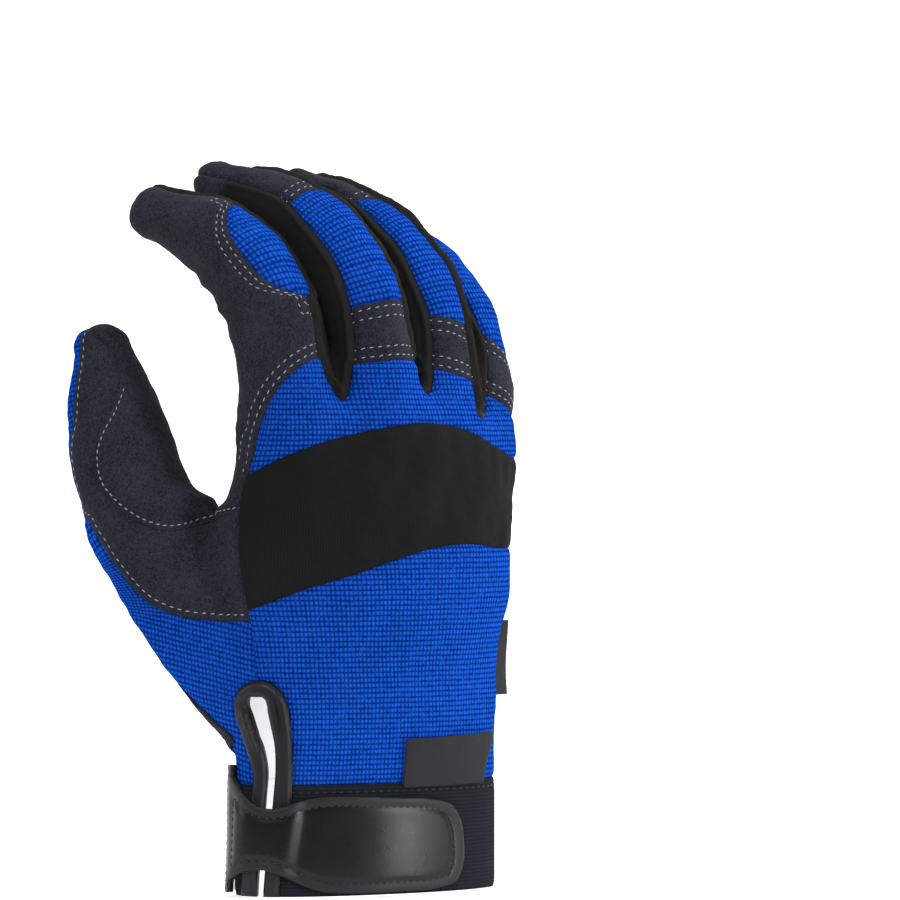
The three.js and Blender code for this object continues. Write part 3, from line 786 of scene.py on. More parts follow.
@dataclass
class SeamMap:
    """Where the seams run, as fields that are positive inside each panel."""

    form: HandForm
    digits: dict[str, Digit]
    cuff_top: float = 34.5
    seen_scale: float = 12.0
    index_fork: tuple[tuple[float, float], ...] = (
        # along the index finger, angle where the stretch strip begins
        (0.0, 160.0), (8.0, 146.0), (19.0, 142.0), (27.0, 145.0), (35.0, 150.0), (44.0, 170.0),
        (52.0, 171.0), (63.0, 163.0), (72.0, 155.0), (80.0, 149.0), (101.0, 142.0),
    )
    finger_edges: dict[str, tuple[tuple[float, float, float], ...]] = field(
        default_factory=lambda: {
            # along the finger, angles of both long edges of its back pieces
            "middle": ((0.0, 50.0, 163.0), (17.0, 52.0, 162.0), (34.0, 59.0, 156.0),
                       (48.0, 62.0, 155.0), (60.0, 61.0, 152.0), (68.0, 63.0, 146.0),
                       (75.0, 68.0, 139.0), (95.0, 66.0, 137.0), (125.0, 60.0, 135.0)),
            "ring": ((0.0, 42.0, 116.0), (15.0, 43.0, 116.0), (31.0, 52.0, 119.0),
                     (44.0, 51.0, 124.0), (55.0, 52.0, 118.0), (65.0, 51.0, 107.0),
                     (75.0, 57.0, 105.0), (95.0, 60.0, 110.0), (120.0, 60.0, 115.0)),
            "little": ((0.0, 34.0, 205.0), (16.0, 37.0, 205.0), (32.0, 49.0, 205.0),
                       (45.0, 40.0, 205.0), (60.0, 35.0, 205.0), (100.0, 44.0, 205.0)),
        })
    vent_slit: tuple[tuple[float, float], ...] = (
        (-34.0, -8.0), (-33.5, 3.0), (-30.6, 31.0), (-30.2, 40.0), (-31.3, 45.0), (-33.6, 50.0),
        (-35.6, 55.0), (-36.7, 60.2), (-36.0, 61.8), (-33.6, 62.0), (-31.2, 61.8), (-30.4, 60.4),
        (-29.8, 57.0), (-29.0, 53.0),
        (-28.0, 48.0), (-27.6, 40.0), (-28.3, 31.0), (-31.3, 3.0), (-31.8, -8.0),
    )
    vent_outline: tuple[tuple[float, float], ...] = (
        (-38.8, -8.0), (-38.2, 3.0), (-35.0, 31.0), (-34.8, 39.0), (-36.2, 44.0), (-38.4, 50.0),
        (-40.2, 55.0), (-40.4, 61.0), (-38.0, 65.0), (-33.6, 67.0), (-28.4, 66.0), (-24.6, 61.5),
        (-23.0, 54.0), (-22.3, 45.0), (-22.6, 30.0), (-26.3, 3.0), (-26.8, -8.0),
    )
    back_seam: tuple[tuple[float, float], ...] = (
        (-36.0, 133.0), (-38.6, 124.0), (-39.4, 112.0), (-38.0, 99.0), (-36.2, 87.0),
        (-35.0, 78.0), (-33.5, 64.0), (-33.0, 50.0),
    )
    band_top: tuple[tuple[float, float], ...] = (
        (-60.0, 121.0), (-36.0, 131.2), (-21.0, 138.0), (-3.0, 143.7), (12.0, 146.4), (20.0, 147.2),
        (32.0, 145.0), (38.0, 142.2), (46.0, 137.0), (60.0, 127.0),
    )
    band_bottom: tuple[tuple[float, float], ...] = (
        (-60.0, 82.0), (-36.0, 89.0), (-21.0, 94.6), (-3.0, 100.0), (12.0, 105.0), (22.0, 108.0),
        (32.0, 109.0), (44.0, 107.6), (60.0, 104.0),
    )
    upper_edge: tuple[tuple[float, float], ...] = (
        (-36.0, 133.0), (-33.0, 144.0), (-29.0, 154.0), (-24.0, 160.6), (-18.0, 165.5),
        (-13.8, 167.5),
    )
    saddle_edge: tuple[tuple[float, float], ...] = (
        (-88.0, 116.0), (-83.5, 109.0), (-80.0, 103.6), (-75.4, 97.8), (-67.6, 90.6), (-60.0, 87.2),
        (-48.0, 85.4), (-36.0, 85.2), (-28.0, 86.0),
    )
    thumb_seam: tuple[tuple[float, float], ...] = (
        (-92.0, 181.0), (-87.0, 175.5), (-80.4, 170.0), (-78.0, 161.0), (-80.4, 152.0),
        (-84.2, 145.0), (-86.2, 137.5), (-84.6, 128.5), (-79.0, 121.5), (-73.0, 117.0),
        (-62.0, 113.4), (-50.0, 115.8), (-40.0, 119.0), (-30.0, 120.0),
    )
    thenar_patch: tuple[tuple[float, float], ...] = (
        (36.0, 85.0), (46.0, 87.5), (54.0, 86.5), (57.5, 82.0), (53.0, 70.0), (48.0, 58.0),
        (40.0, 45.0), (32.0, 42.0), (18.0, 44.0), (11.6, 48.0), (20.0, 62.0),
    )
    lower_blue: tuple[tuple[float, float], ...] = (
        (14.0, 30.0), (13.0, 45.0), (26.0, 66.0), (40.0, 84.0), (60.0, 92.0), (95.0, 92.0),
        (95.0, 30.0),
    )
    label: tuple[tuple[float, float], ...] = (
        (12.3, 48.8), (38.4, 49.6), (36.2, 33.6), (11.4, 33.4),
    )
    strap_front: tuple[tuple[float, float], ...] = (
        (-70.0, 41.5), (-42.0, 40.0), (-39.0, 36.6), (-36.0, 32.0), (-33.0, 28.8), (-29.6, 27.6),
        (-26.0, 28.0), (-22.5, 29.2), (-17.0, 30.6), (-10.0, 31.2), (1.0, 30.8), (12.0, 30.2),
        (20.0, 29.4), (25.6, 27.4), (28.6, 22.0), (29.4, 16.0), (28.8, 7.0), (27.0, 3.2),
        (22.0, 1.6), (10.0, 1.0), (-5.0, 1.0), (-14.0, 1.8), (-20.0, 4.0), (-26.0, 7.0),
        (-31.0, 8.6), (-36.0, 8.0), (-40.0, 4.6), (-43.0, 3.2), (-70.0, 2.6),
    )
    strap_back: tuple[tuple[float, float], ...] = (
        (80.0, 2.6), (36.0, 3.4), (32.0, 6.0), (29.8, 11.0), (29.4, 22.0), (29.8, 31.0),
        (32.0, 36.4), (36.0, 39.4), (41.0, 40.4), (80.0, 41.0),
    )

    def measure(self, skin: Skin) -> None:
        """Keeps the measures of every digit, the palm and the views with the skin's points.

        Args:
            skin: the skin to measure.
        """
        for name, digit in self.digits.items():
            for key, value in digit.measure(skin.points).items():
                skin.values[f"{name}.{key}"] = value
        skin.values["middle"] = self.form.palm_middle(skin.points)
        skin.values["palm"] = self.form.palm_distance(skin.points)
        for key, turn in (("back", BACK_VIEW), ("front", PALM_VIEW)):
            skin.values[f"{key}.u"] = skin.points @ view_right(turn)
            skin.values[f"{key}.seen"] = skin.normals @ view_depth(turn) * -self.seen_scale

    def outline(self, skin: Skin, corners: Sequence[Sequence[float]], view: str = "back",
                rounded: bool = True) -> Array:
        """The field of a flat outline drawn in a view, positive inside.

        Args:
            skin: the skin with its measures.
            corners: across and height of each corner.
            view: back or front, the view that it is drawn in.
            rounded: whether the corners are rounded.

        Returns:
            The signed distance for each point.
        """
        shape = smooth_line(corners) if rounded else np.asarray(corners, dtype=float)
        places = np.c_[skin.values[f"{view}.u"], skin.points[:, 2]]
        return polygon_inside(places, shape)

    def nearest(self, skin: Skin, name: str) -> Array:
        """Positive where this digit is nearer than the other digits."""
        others = [skin.values[f"{other}.distance"] for other in self.digits if other != name]
        return np.minimum.reduce(others) - skin.values[f"{name}.distance"]

    def skewed(self, skin: Skin, name: str, skew: float) -> Array:
        """The station along a finger, for seams that run askew round it."""
        turn = np.clip(skin.values[f"{name}.angle"], 20.0, 140.0) - 90.0
        return skin.values[f"{name}.station"] - skew * turn

    def wedge(self, skin: Skin, name: str, start: float, stop: float, low: Array | float,
              high: Array | float) -> Array:
        """The field of a stretch of a digit between two angles round it.

        Args:
            skin: the skin with its measures.
            name: the digit's name.
            start: where it begins along the digit.
            stop: where it ends along the digit.
            low: the angle where it begins.
            high: the angle where it ends.

        Returns:
            The signed distance for each point.
        """
        station = skin.values[f"{name}.station"]
        radius = skin.values[f"{name}.radius"]
        turn = (np.asarray(low) + np.asarray(high)) / 2
        half = (np.asarray(high) - np.asarray(low)) / 2
        gap = (skin.values[f"{name}.angle"] - turn + 180.0) % 360.0 - 180.0
        sides = np.radians(half - np.abs(gap)) * radius
        ends = np.minimum(station - start, stop - station)
        return np.minimum.reduce([sides, ends, self.nearest(skin, name)])

    def between(self, skin: Skin, top: Sequence[Sequence[float]],
                bottom: Sequence[Sequence[float]]) -> Array:
        """The field of a strip between two lines drawn across the back."""
        return self.outline(skin, list(smooth_line(top)) + list(smooth_line(bottom))[::-1],
                            rounded=False)


def inside_of(name: str) -> Callable[[Skin], Array]:
    """Reads the field of a panel that was cut or laid before."""
    return lambda s: s.values[f"in.{name}"]


@dataclass(frozen=True)
class StitchRow:
    """A row of stitches on a panel, at an offset inside one of the seam fields."""

    level: Callable[[Skin], Array]
    offset: float
    keep: Callable[[Skin], Array] | None = None
    dark: bool = False
    pitch: float = 2.6
    dimple: float = 0.28


@dataclass
class Panel:
    """One sewn piece cut from the skin."""

    name: str
    nodes: tuple[str, ...]
    finish: Finish
    cloth: ClothMap
    skin: Skin
    rise: float = 0.0
    sink: float = 0.75
    edge: float = 1.1
    thickness: float = 1.3
    welt: float = 0.0
    welt_at: float = 1.3
    extra: Callable[[Skin], Array] | None = None
    rows: list[StitchRow] = field(default_factory=list)
    surface: Skin | None = None


@dataclass
class PanelCutter:
    """Cuts the panels out of the skin, one after another."""

    seams: SeamMap
    skin: Skin
    panels: list[Panel] = field(default_factory=list)

    def take(self, name: str, nodes: Sequence[str], finish: Finish, cloth: ClothMap,
             inside: Callable[[Skin], Array], **sizes: Any) -> None:
        """Takes a panel out of what is left of the skin, and keeps its field on the rest.

        Args:
            name: the piece's name.
            nodes: the nodes that it stands for.
            finish: its finish.
            cloth: what gives its cloth directions.
            inside: its field.
            sizes: other fields of Panel.
        """
        self.skin.values[f"in.{name}"] = inside(self.skin)
        kept, rest = self.skin.split(self.skin.values[f"in.{name}"])
        main, crumbs = kept.parts()
        self.skin = rest.joined(crumbs)
        self.panels.append(Panel(name, tuple(nodes), finish, cloth, main, **sizes))

    def lay(self, whole: Skin, name: str, nodes: Sequence[str], finish: Finish,
            inside: Array, **sizes: Any) -> None:
        """Lays a piece over the skin, shaped by a field on the whole skin.

        Args:
            whole: the skin before it was cut.
            name: the piece's name.
            nodes: the nodes that it stands for.
            finish: its finish.
            inside: its field on the whole skin.
            sizes: other fields of Panel.
        """
        kept, _ = replace(whole, values={**whole.values, f"in.{name}": inside}).split(inside)
        self.panels.append(Panel(name, tuple(nodes), finish, ClothMap.PALM, kept.parts()[0],
                                 **sizes))

    def cut_all(self) -> list[Panel]:
        """Cuts every panel in the order of the sewing, outer layers first.

        Returns:
            The panels in the order in which they are made.
        """
        seams = self.seams
        _, self.skin = self.skin.split(-self.skin.points[:, 2])
        whole = self.skin
        whole.values["in.vent"] = np.minimum(seams.outline(whole, seams.vent_outline),
                                             whole.values["middle"])
        slit = np.minimum(seams.outline(self.skin, seams.vent_slit), self.skin.values["middle"])
        _, self.skin = self.skin.split(slit)
        self.take("vent_binding_leather", ["vent_binding"], Finish.LEATHER, ClothMap.PALM,
                  inside_of("vent"), rise=1.3, sink=1.2, edge=0.9, thickness=2.2,
                  welt=0.35, welt_at=1.2)
        self.take("cuff_elastic", ["cuff_band"], Finish.ELASTIC, ClothMap.PALM,
                  lambda s: seams.cuff_top - s.points[:, 2], rise=0.1, sink=0.4, thickness=1.5,
                  rows=[StitchRow(inside_of("cuff_elastic"), 2.3, dark=True)])
        self.cut_fingers()
        self.cut_back()
        self.cut_forks()
        self.cut_thumb()
        self.cut_palm()
        self.lay_over(whole)
        return self.panels

    def cut_palm(self) -> None:
        """The suede that is left: the palm, the fingers' fronts and the index finger's sides."""
        def beside_knit(s: Skin) -> Array:
            """Positive beside the knuckle knit, on the index finger's side."""
            return np.minimum.reduce([-8.0 - s.values["back.u"], s.values["middle"],
                                      s.points[:, 2] - 132.0])

        def leaf_side(s: Skin) -> Array:
            """Positive on the radial side of the leaf."""
            return 152.0 - s.values["index.angle"]

        def thumb_front(s: Skin) -> Array:
            """Positive on the viewer's side of the thumb, beside the long thumb seam."""
            return np.minimum.reduce([s.values["back.seen"] - 0.5, s.points[:, 2] - 112.0,
                                      158.0 - s.points[:, 2], -42.0 - s.points[:, 0]])

        rows = [StitchRow(inside_of("thumb_saddle_suede"), -1.7, thumb_front,
                          pitch=2.2)]
        for offset in (-2.0, -4.5):
            rows.append(StitchRow(inside_of("index_leaf_cloth"), offset, leaf_side))
            rows.append(StitchRow(inside_of("back_upper_cloth"), offset, beside_knit))
        self.panels.append(Panel(
            "palm_suede", ("palm_panel", "index_wrap_panel", "middle_front_panel",
                           "ring_front_panel", "little_front_panel", "thumb_inner_panel"),
            Finish.SUEDE, ClothMap.PALM, self.skin.parts(8)[0], rows=rows))

    def lay_over(self, whole: Skin) -> None:
        """The strap, the label and the wear patch, laid on the sewn glove.

        Args:
            whole: the skin before it was cut.
        """
        seams = self.seams
        middle = whole.values["middle"]
        front = np.minimum(seams.outline(whole, seams.strap_front), middle + 0.5)
        behind = np.minimum(seams.outline(whole, seams.strap_back, "front"), 0.5 - middle)

        def over_binding(s: Skin) -> Array:
            """The rise of the strap where it crosses the binding, and its slight waves."""
            wave = np.sin(s.values["back.u"] * 0.17 + 0.9) * 0.22
            return 1.5 * ease(s.values["in.vent"], -5.0, 0.5) + wave

        def lifted(s: Skin) -> Array:
            """The label stands off a little toward its free edge."""
            return 0.9 * ease(s.points[:, 2], 36.0, 52.0)

        self.lay(whole, "closure_strap_leather", ["closure_strap"], Finish.LEATHER,
                 np.maximum(front, behind), rise=2.6, sink=0.2, edge=0.4, thickness=2.1,
                 extra=over_binding,
                 rows=[StitchRow(inside_of("closure_strap_leather"), 2.9, dark=True,
                                 pitch=2.3, dimple=0.35)])
        self.lay(whole, "label_cloth", ["label_tag"], Finish.LABEL,
                 np.minimum(seams.outline(whole, seams.label, rounded=False), middle),
                 rise=1.3, sink=0.15, edge=0.5, thickness=0.6, extra=lifted)
        self.lay(whole, "thenar_patch_suede", ["thenar_patch"], Finish.SUEDE,
                 np.minimum(seams.outline(whole, seams.thenar_patch, "front"),
                            whole.values["front.seen"] - 0.5),
                 rise=1.5, sink=0.6, edge=1.2, thickness=1.2,
                 rows=[StitchRow(inside_of("thenar_patch_suede"), 2.0)])

    def cut_fingers(self) -> None:
        """Knuckle pads, finger backs and tip caps."""
        rows = (
            # finger, piece, from and to along the finger, slant round it, finish
            ("middle", "knuckle_pad", 17.0, 34.0, 0.0, Finish.SUEDE),
            ("middle", "back_panel", 34.0, 73.5, 0.0, Finish.BLUE),
            ("middle", "tip_cap", 73.5, 140.0, 0.0, Finish.SUEDE),
            ("ring", "knuckle_pad", 14.6, 31.0, -0.06, Finish.SUEDE),
            ("ring", "back_panel", 31.0, 75.0, -0.06, Finish.BLUE),
            ("ring", "tip_cap", 75.0, 130.0, 0.0, Finish.SUEDE),
            ("little", "knuckle_pad", 13.0, 31.0, -0.08, Finish.SUEDE),
            ("little", "back_panel", 31.0, 130.0, -0.08, Finish.BLUE),
        )
        for finger, piece, start, stop, skew, finish in rows:
            def inside(s: Skin, f: str = finger, a: float = start, b: float = stop,
                       c: float = skew) -> Array:
                """The piece's stretch of the finger's back.

                Args:
                    s: the skin that is left.
                    f: the finger's name.
                    a: where it begins.
                    b: where it ends.
                    c: its slant.

                Returns:
                    Its field.
                """
                low, high = smooth_rows(self.seams.finger_edges[f],
                                        s.values[f"{f}.station"]).T
                bent = self.seams.skewed(s, f, c)
                return np.minimum.reduce([self.seams.wedge(s, f, -30.0, 140.0, low, high),
                                          bent - a, b - bent])

            def bent_station(s: Skin, f: str = finger, c: float = skew) -> Array:
                """The station along the finger, for seams that run askew."""
                return self.seams.skewed(s, f, c)

            stitched = []
            if finish is Finish.SUEDE:
                for offset in (1.6, 4.3):
                    stitched.append(StitchRow(lambda s, k=bent_station, a=start: k(s) - a, offset))
                    if piece == "knuckle_pad":
                        stitched.append(
                            StitchRow(lambda s, k=bent_station, b=stop: b - k(s), offset))
            self.take(f"{finger}_{piece}_cloth", [f"{finger}_{piece}"], finish, ClothMap(finger),
                      inside, rows=stitched)
        leaf_rows = (
            # along the index finger, from angle, to angle
            (35.5, 148.0, 153.0), (38.0, 120.0, 170.0), (41.0, 103.0, 175.0), (45.0, 95.0, 176.0),
            (49.5, 91.0, 173.0), (54.0, 91.0, 169.0), (58.0, 94.0, 166.0), (62.5, 104.0, 163.0),
            (66.0, 122.0, 161.0), (68.5, 146.0, 156.0),
        )

        def leaf(s: Skin) -> Array:
            """The leaf-shaped knit panel on the back of the index finger."""
            low, high = smooth_rows(leaf_rows, s.values["index.station"]).T
            return self.seams.wedge(s, "index", leaf_rows[0][0], leaf_rows[-1][0], low, high)

        self.take("index_leaf_cloth", ["index_back_panel"], Finish.BLUE, ClothMap.INDEX, leaf,
                  sink=0.7)

    def cut_back(self) -> None:
        """The knit above and below the band, and the band."""
        seams = self.seams
        gaps = ((-13.8, 167.5), (-11.0, 160.0), (-8.6, 155.6), (-7.0, 154.0), (-5.6, 155.4),
                (-4.2, 162.0), (-3.4, 172.0), (15.5, 176.0), (16.4, 164.0), (18.2, 158.0),
                (20.0, 156.0), (21.0, 157.8), (21.6, 166.0), (33.6, 168.0), (34.0, 158.0),
                (35.4, 150.4), (37.0, 148.2), (38.0, 150.0), (38.6, 163.0), (52.0, 163.0))
        top = list(smooth_line(seams.upper_edge)) + list(gaps)

        def upper(s: Skin) -> Array:
            """The knit between the band and the knuckles.

            Args:
                s: the skin that is left.

            Returns:
                Its field.
            """
            seam = [point for point in smooth_line(seams.band_top) if point[0] > -36.2]
            shape = top + [(70.0, 150.0)] + seam[::-1]
            pads = (("index", 22.0, 0.0), ("middle", 17.0, 0.0), ("ring", 14.6, -0.06),
                    ("little", 13.0, -0.08))
            below = [np.maximum(start - seams.skewed(s, name, skew), -seams.nearest(s, name))
                     for name, start, skew in pads]
            return np.minimum.reduce([seams.outline(s, shape, rounded=False),
                                      s.values["middle"], *below])

        def band(s: Skin) -> Array:
            """The band across the back of the hand."""
            strip = seams.between(s, seams.band_top, seams.band_bottom)
            return np.minimum.reduce([strip, self.right_of_seam(s), s.values["middle"]])

        def lower(s: Skin) -> Array:
            """The knit between the band and the cuff.

            Args:
                s: the skin that is left.

            Returns:
                Its field.
            """
            shape = list(smooth_line(seams.band_bottom)) + [(90.0, 20.0), (-60.0, 20.0)]
            return np.minimum.reduce([seams.outline(s, shape, rounded=False),
                                      self.right_of_seam(s), s.values["middle"]])

        self.take("back_upper_cloth", ["back_upper_panel"], Finish.BLUE, ClothMap.PALM, upper)
        self.take("back_band_cloth", ["back_band"], Finish.BAND, ClothMap.PALM, band, rise=0.15)
        self.take("back_lower_cloth", ["back_lower_panel"], Finish.BLUE, ClothMap.PALM, lower)

    def right_of_seam(self, skin: Skin) -> Array:
        """Positive on the little finger's side of the seam that ends at the wrist slit.

        Args:
            skin: the skin with its measures.

        Returns:
            The signed distance for each point.
        """
        line = smooth_line(self.seams.back_seam)
        shape = [(150.0, 190.0), (-36.0, 190.0)] + list(line) + [(-33.0, 0.0), (150.0, 0.0)]
        return self.seams.outline(skin, shape, rounded=False)

    def cut_forks(self) -> None:
        """The stretch strips between the fingers."""
        rows = (("index", "middle"), ("middle", "ring"), ("ring", "little"))
        for first, second in rows:
            def fork(s: Skin, a: str = first, b: str = second) -> Array:
                """Both facing sides of two neighbouring fingers and the web between them.

                Args:
                    s: the skin that is left.
                    a: the finger on the thumb side.
                    b: the finger on the other side.

                Returns:
                    Its field.
                """
                seams = self.seams
                low = 100.0 if a != "index" else smooth_rows(
                    seams.index_fork, s.values["index.station"])[:, 0]
                one = seams.wedge(s, a, 4.0, 101.0, low, 198.0)
                two = seams.wedge(s, b, 4.0, 101.0, -18.0, 80.0)
                return np.maximum(one, two)

            self.take(f"fork_{first}_{second}_cloth", [f"fork_{first}_{second}"], Finish.STRETCH,
                      ClothMap(second), fork, sink=1.1, edge=0.7, rise=0.1, welt=1.0,
                      welt_at=2.0)

    def cut_thumb(self) -> None:
        """The thumb's knit side panel and its suede saddle."""
        seams = self.seams
        edge_rows = (
            # along the thumb, angle of the knit's edge toward the viewer
            (55.0, -6.0), (80.0, -7.0), (100.0, -6.0), (116.0, 3.0), (128.0, 13.0), (140.0, 21.0),
            (152.0, 26.0),
        )

        def toward_viewer(s: Skin) -> Array:
            """Positive on the faces of the thumb and palm that the back view shows."""
            thumb = seams.wedge(s, "thumb", 74.0, 200.0, -5.0, 185.0)
            return np.maximum.reduce([s.values["middle"], thumb, s.values["back.seen"] + 1.0])

        def side(s: Skin) -> Array:
            """The knit from the thumb's tip down to the cuff.

            Args:
                s: the skin that is left.

            Returns:
                Its field.
            """
            high = smooth_rows(edge_rows, s.values["thumb.station"])[:, 0]
            along = seams.wedge(s, "thumb", 50.0, 200.0, -98.0, high)
            shape = list(smooth_line(seams.saddle_edge)) + [(-20.0, 60.0), (-20.0, 20.0),
                                                            (-110.0, 20.0), (-110.0, 125.0)]
            below = np.minimum(seams.outline(s, shape, rounded=False), toward_viewer(s))
            palm = np.minimum(seams.outline(s, seams.lower_blue, "front"),
                              s.values["front.seen"] + 1.0)
            return np.maximum.reduce([along, below, palm])

        def saddle(s: Skin) -> Array:
            """The suede on the viewer's side of the thumb and its root.

            Args:
                s: the skin that is left.

            Returns:
                Its field.
            """
            shape = list(smooth_line(seams.thumb_seam)) + [(-30.0, 60.0), (-120.0, 60.0),
                                                           (-120.0, 181.0)]
            return np.minimum(seams.outline(s, shape, rounded=False), toward_viewer(s))

        def viewed(s: Skin) -> Array:
            """Positive on the faces that turn toward the viewer."""
            return s.values["back.seen"]

        self.take("thumb_side_cloth", ["thumb_side_panel"], Finish.BLUE, ClothMap.THUMB, side)
        self.take("thumb_saddle_suede", ["thumb_saddle"], Finish.SUEDE, ClothMap.THUMB, saddle,
                  sink=0.8, rows=[StitchRow(inside_of("thumb_side_cloth"), -2.3, viewed)])


class Wire:
    """A shader value that adds its own Math nodes when it is used in an expression."""

    def __init__(self, shader: "Shader", socket: Any) -> None:
        """Wraps a socket or a number of a shader."""
        self.shader = shader
        self.socket = socket

    def _math(self, operation: str, *others: Any) -> "Wire":
        """Adds one Math node on this value and the others."""
        return self.shader.math(operation, self, *others)

    def __add__(self, other: Any) -> "Wire":
        """Adds."""
        return self._math("ADD", other)

    def __radd__(self, other: Any) -> "Wire":
        """Adds, reflected."""
        return self.shader.math("ADD", other, self)

    def __sub__(self, other: Any) -> "Wire":
        """Subtracts."""
        return self._math("SUBTRACT", other)

    def __rsub__(self, other: Any) -> "Wire":
        """Subtracts, reflected."""
        return self.shader.math("SUBTRACT", other, self)

    def __mul__(self, other: Any) -> "Wire":
        """Multiplies."""
        return self._math("MULTIPLY", other)

    def __rmul__(self, other: Any) -> "Wire":
        """Multiplies, reflected."""
        return self.shader.math("MULTIPLY", other, self)

    def __truediv__(self, other: Any) -> "Wire":
        """Divides."""
        return self._math("DIVIDE", other)

    def __pow__(self, other: Any) -> "Wire":
        """Raises to a power."""
        return self._math("POWER", other)

    def wave(self) -> "Wire":
        """A rounded wave between 0 and 1, with a period of 1."""
        return self.shader.math("COSINE", self * (2 * math.pi)) * 0.5 + 0.5

    def clamp(self) -> "Wire":
        """The value kept between 0 and 1."""
        return self.shader.math("MAXIMUM", self.shader.math("MINIMUM", self, 1.0), 0.0)


class Shader:
    """Builds the nodes of one material."""

    def __init__(self, name: str) -> None:
        """Starts a material that holds one Principled shader.

        Args:
            name: the material's name.
        """
        self.material = bpy.data.materials.new(name)
        self.material.use_nodes = True
        self.tree = self.material.node_tree
        self.surface = self.tree.nodes["Principled BSDF"]

    def node(self, kind: str, settings: dict[str, Any] | None = None,
             **inputs: Any) -> Any:
        """Adds a node, its settings first, then its sockets' values or links.

        Args:
            kind: the node's type name.
            settings: its settings by name.
            inputs: values or links by socket name, or by number as i0, i1 and so on.

        Returns:
            The node.
        """
        made = self.tree.nodes.new(kind)
        for key, value in (settings or {}).items():
            setattr(made, key, value)
        for key, value in inputs.items():
            numbered = key[0] == "i" and key[1:].isdigit()
            socket = made.inputs[int(key[1:]) if numbered else key.replace("_", " ")]
            self.feed(socket, value)
        return made

    def feed(self, socket: Any, value: Any) -> None:
        """Gives a socket a link or a plain value.

        Args:
            socket: the input.
            value: a wire, a socket, a number or a colour.
        """
        if isinstance(value, Wire):
            value = value.socket
        if isinstance(value, bpy.types.NodeSocket):
            self.tree.links.new(value, socket)
        else:
            socket.default_value = value

    def math(self, operation: str, *values: Any) -> Wire:
        """Adds a Math node.

        Args:
            operation: the node's operation.
            values: its inputs in order.

        Returns:
            Its result.
        """
        made = self.node("ShaderNodeMath", {"operation": operation},
                         **{f"i{i}": v for i, v in enumerate(values)})
        return Wire(self, made.outputs[0])

    def cloth(self) -> tuple[Wire, Wire, Any]:
        """The panel's cloth directions in millimetres, and the vector itself.

        Returns:
            Across, along, and the vector in metres.
        """
        attribute = self.node("ShaderNodeAttribute", {"attribute_name": "cloth"})
        parts = self.node("ShaderNodeSeparateXYZ", i0=attribute.outputs["Vector"])
        return (Wire(self, parts.outputs[0]) * 1000.0, Wire(self, parts.outputs[1]) * 1000.0,
                attribute.outputs["Vector"])

    def seam(self) -> Wire:
        """How far the surface lies from its panel's edge, in millimetres."""
        attribute = self.node("ShaderNodeAttribute", {"attribute_name": "seam"})
        return Wire(self, attribute.outputs["Fac"])

    def place(self) -> Any:
        """Object coordinates."""
        return self.node("ShaderNodeTexCoord").outputs["Object"]

    def noise(self, scale: float, detail: float = 3.0, vector: Any = None) -> Wire:
        """Smooth noise between 0 and 1 at a scale per metre.

        Args:
            scale: the noise's scale.
            detail: how many finer layers it has.
            vector: where it is read, or None for Object coordinates.

        Returns:
            The noise.
        """
        made = self.node("ShaderNodeTexNoise", {"noise_dimensions": "3D"},
                         Vector=self.place() if vector is None else vector, Scale=scale,
                         Detail=detail, Roughness=0.55)
        return Wire(self, made.outputs[0])

    def blend(self, share: Any, low: Sequence[float], high: Sequence[float]) -> Any:
        """A colour between two colours.

        Args:
            share: 0 for the low colour, 1 for the high one.
            low: a colour.
            high: a colour.

        Returns:
            The mixed colour's socket.
        """
        made = self.node("ShaderNodeMix", {"data_type": "RGBA"})
        self.feed(made.inputs[0], share)
        for socket, value in ((made.inputs[6], low), (made.inputs[7], high)):
            self.feed(socket, (*value, 1.0) if isinstance(value, tuple) else value)
        return made.outputs[2]

    def bump(self, height: Wire, depth: float, below: Any = None) -> Any:
        """A Bump node's normal, for a height of so many millimetres.

        Args:
            height: the relief from 0 to 1.
            depth: its height in millimetres.
            below: a normal that it is added to.

        Returns:
            The normal's socket.
        """
        made = self.node("ShaderNodeBump", Strength=1.0, Distance=depth * MM, Height=height)
        if below is not None:
            self.feed(made.inputs["Normal"], below)
        return made.outputs[0]

    def finish(self, colour: Any, roughness: Any, normal: Any, **numbers: float) -> Any:
        """Sets the surface and returns the material.

        Args:
            colour: a colour or a socket.
            roughness: a number or a wire.
            normal: a normal, or None for a plain surface.
            numbers: plain values by socket name.

        Returns:
            The material.
        """
        self.feed(self.surface.inputs["Base Color"],
                  (*colour, 1.0) if isinstance(colour, tuple) else colour)
        self.feed(self.surface.inputs["Roughness"], roughness)
        if normal is not None:
            self.feed(self.surface.inputs["Normal"], normal)
        for key, value in numbers.items():
            self.surface.inputs[key.replace("_", " ")].default_value = value
        return self.material


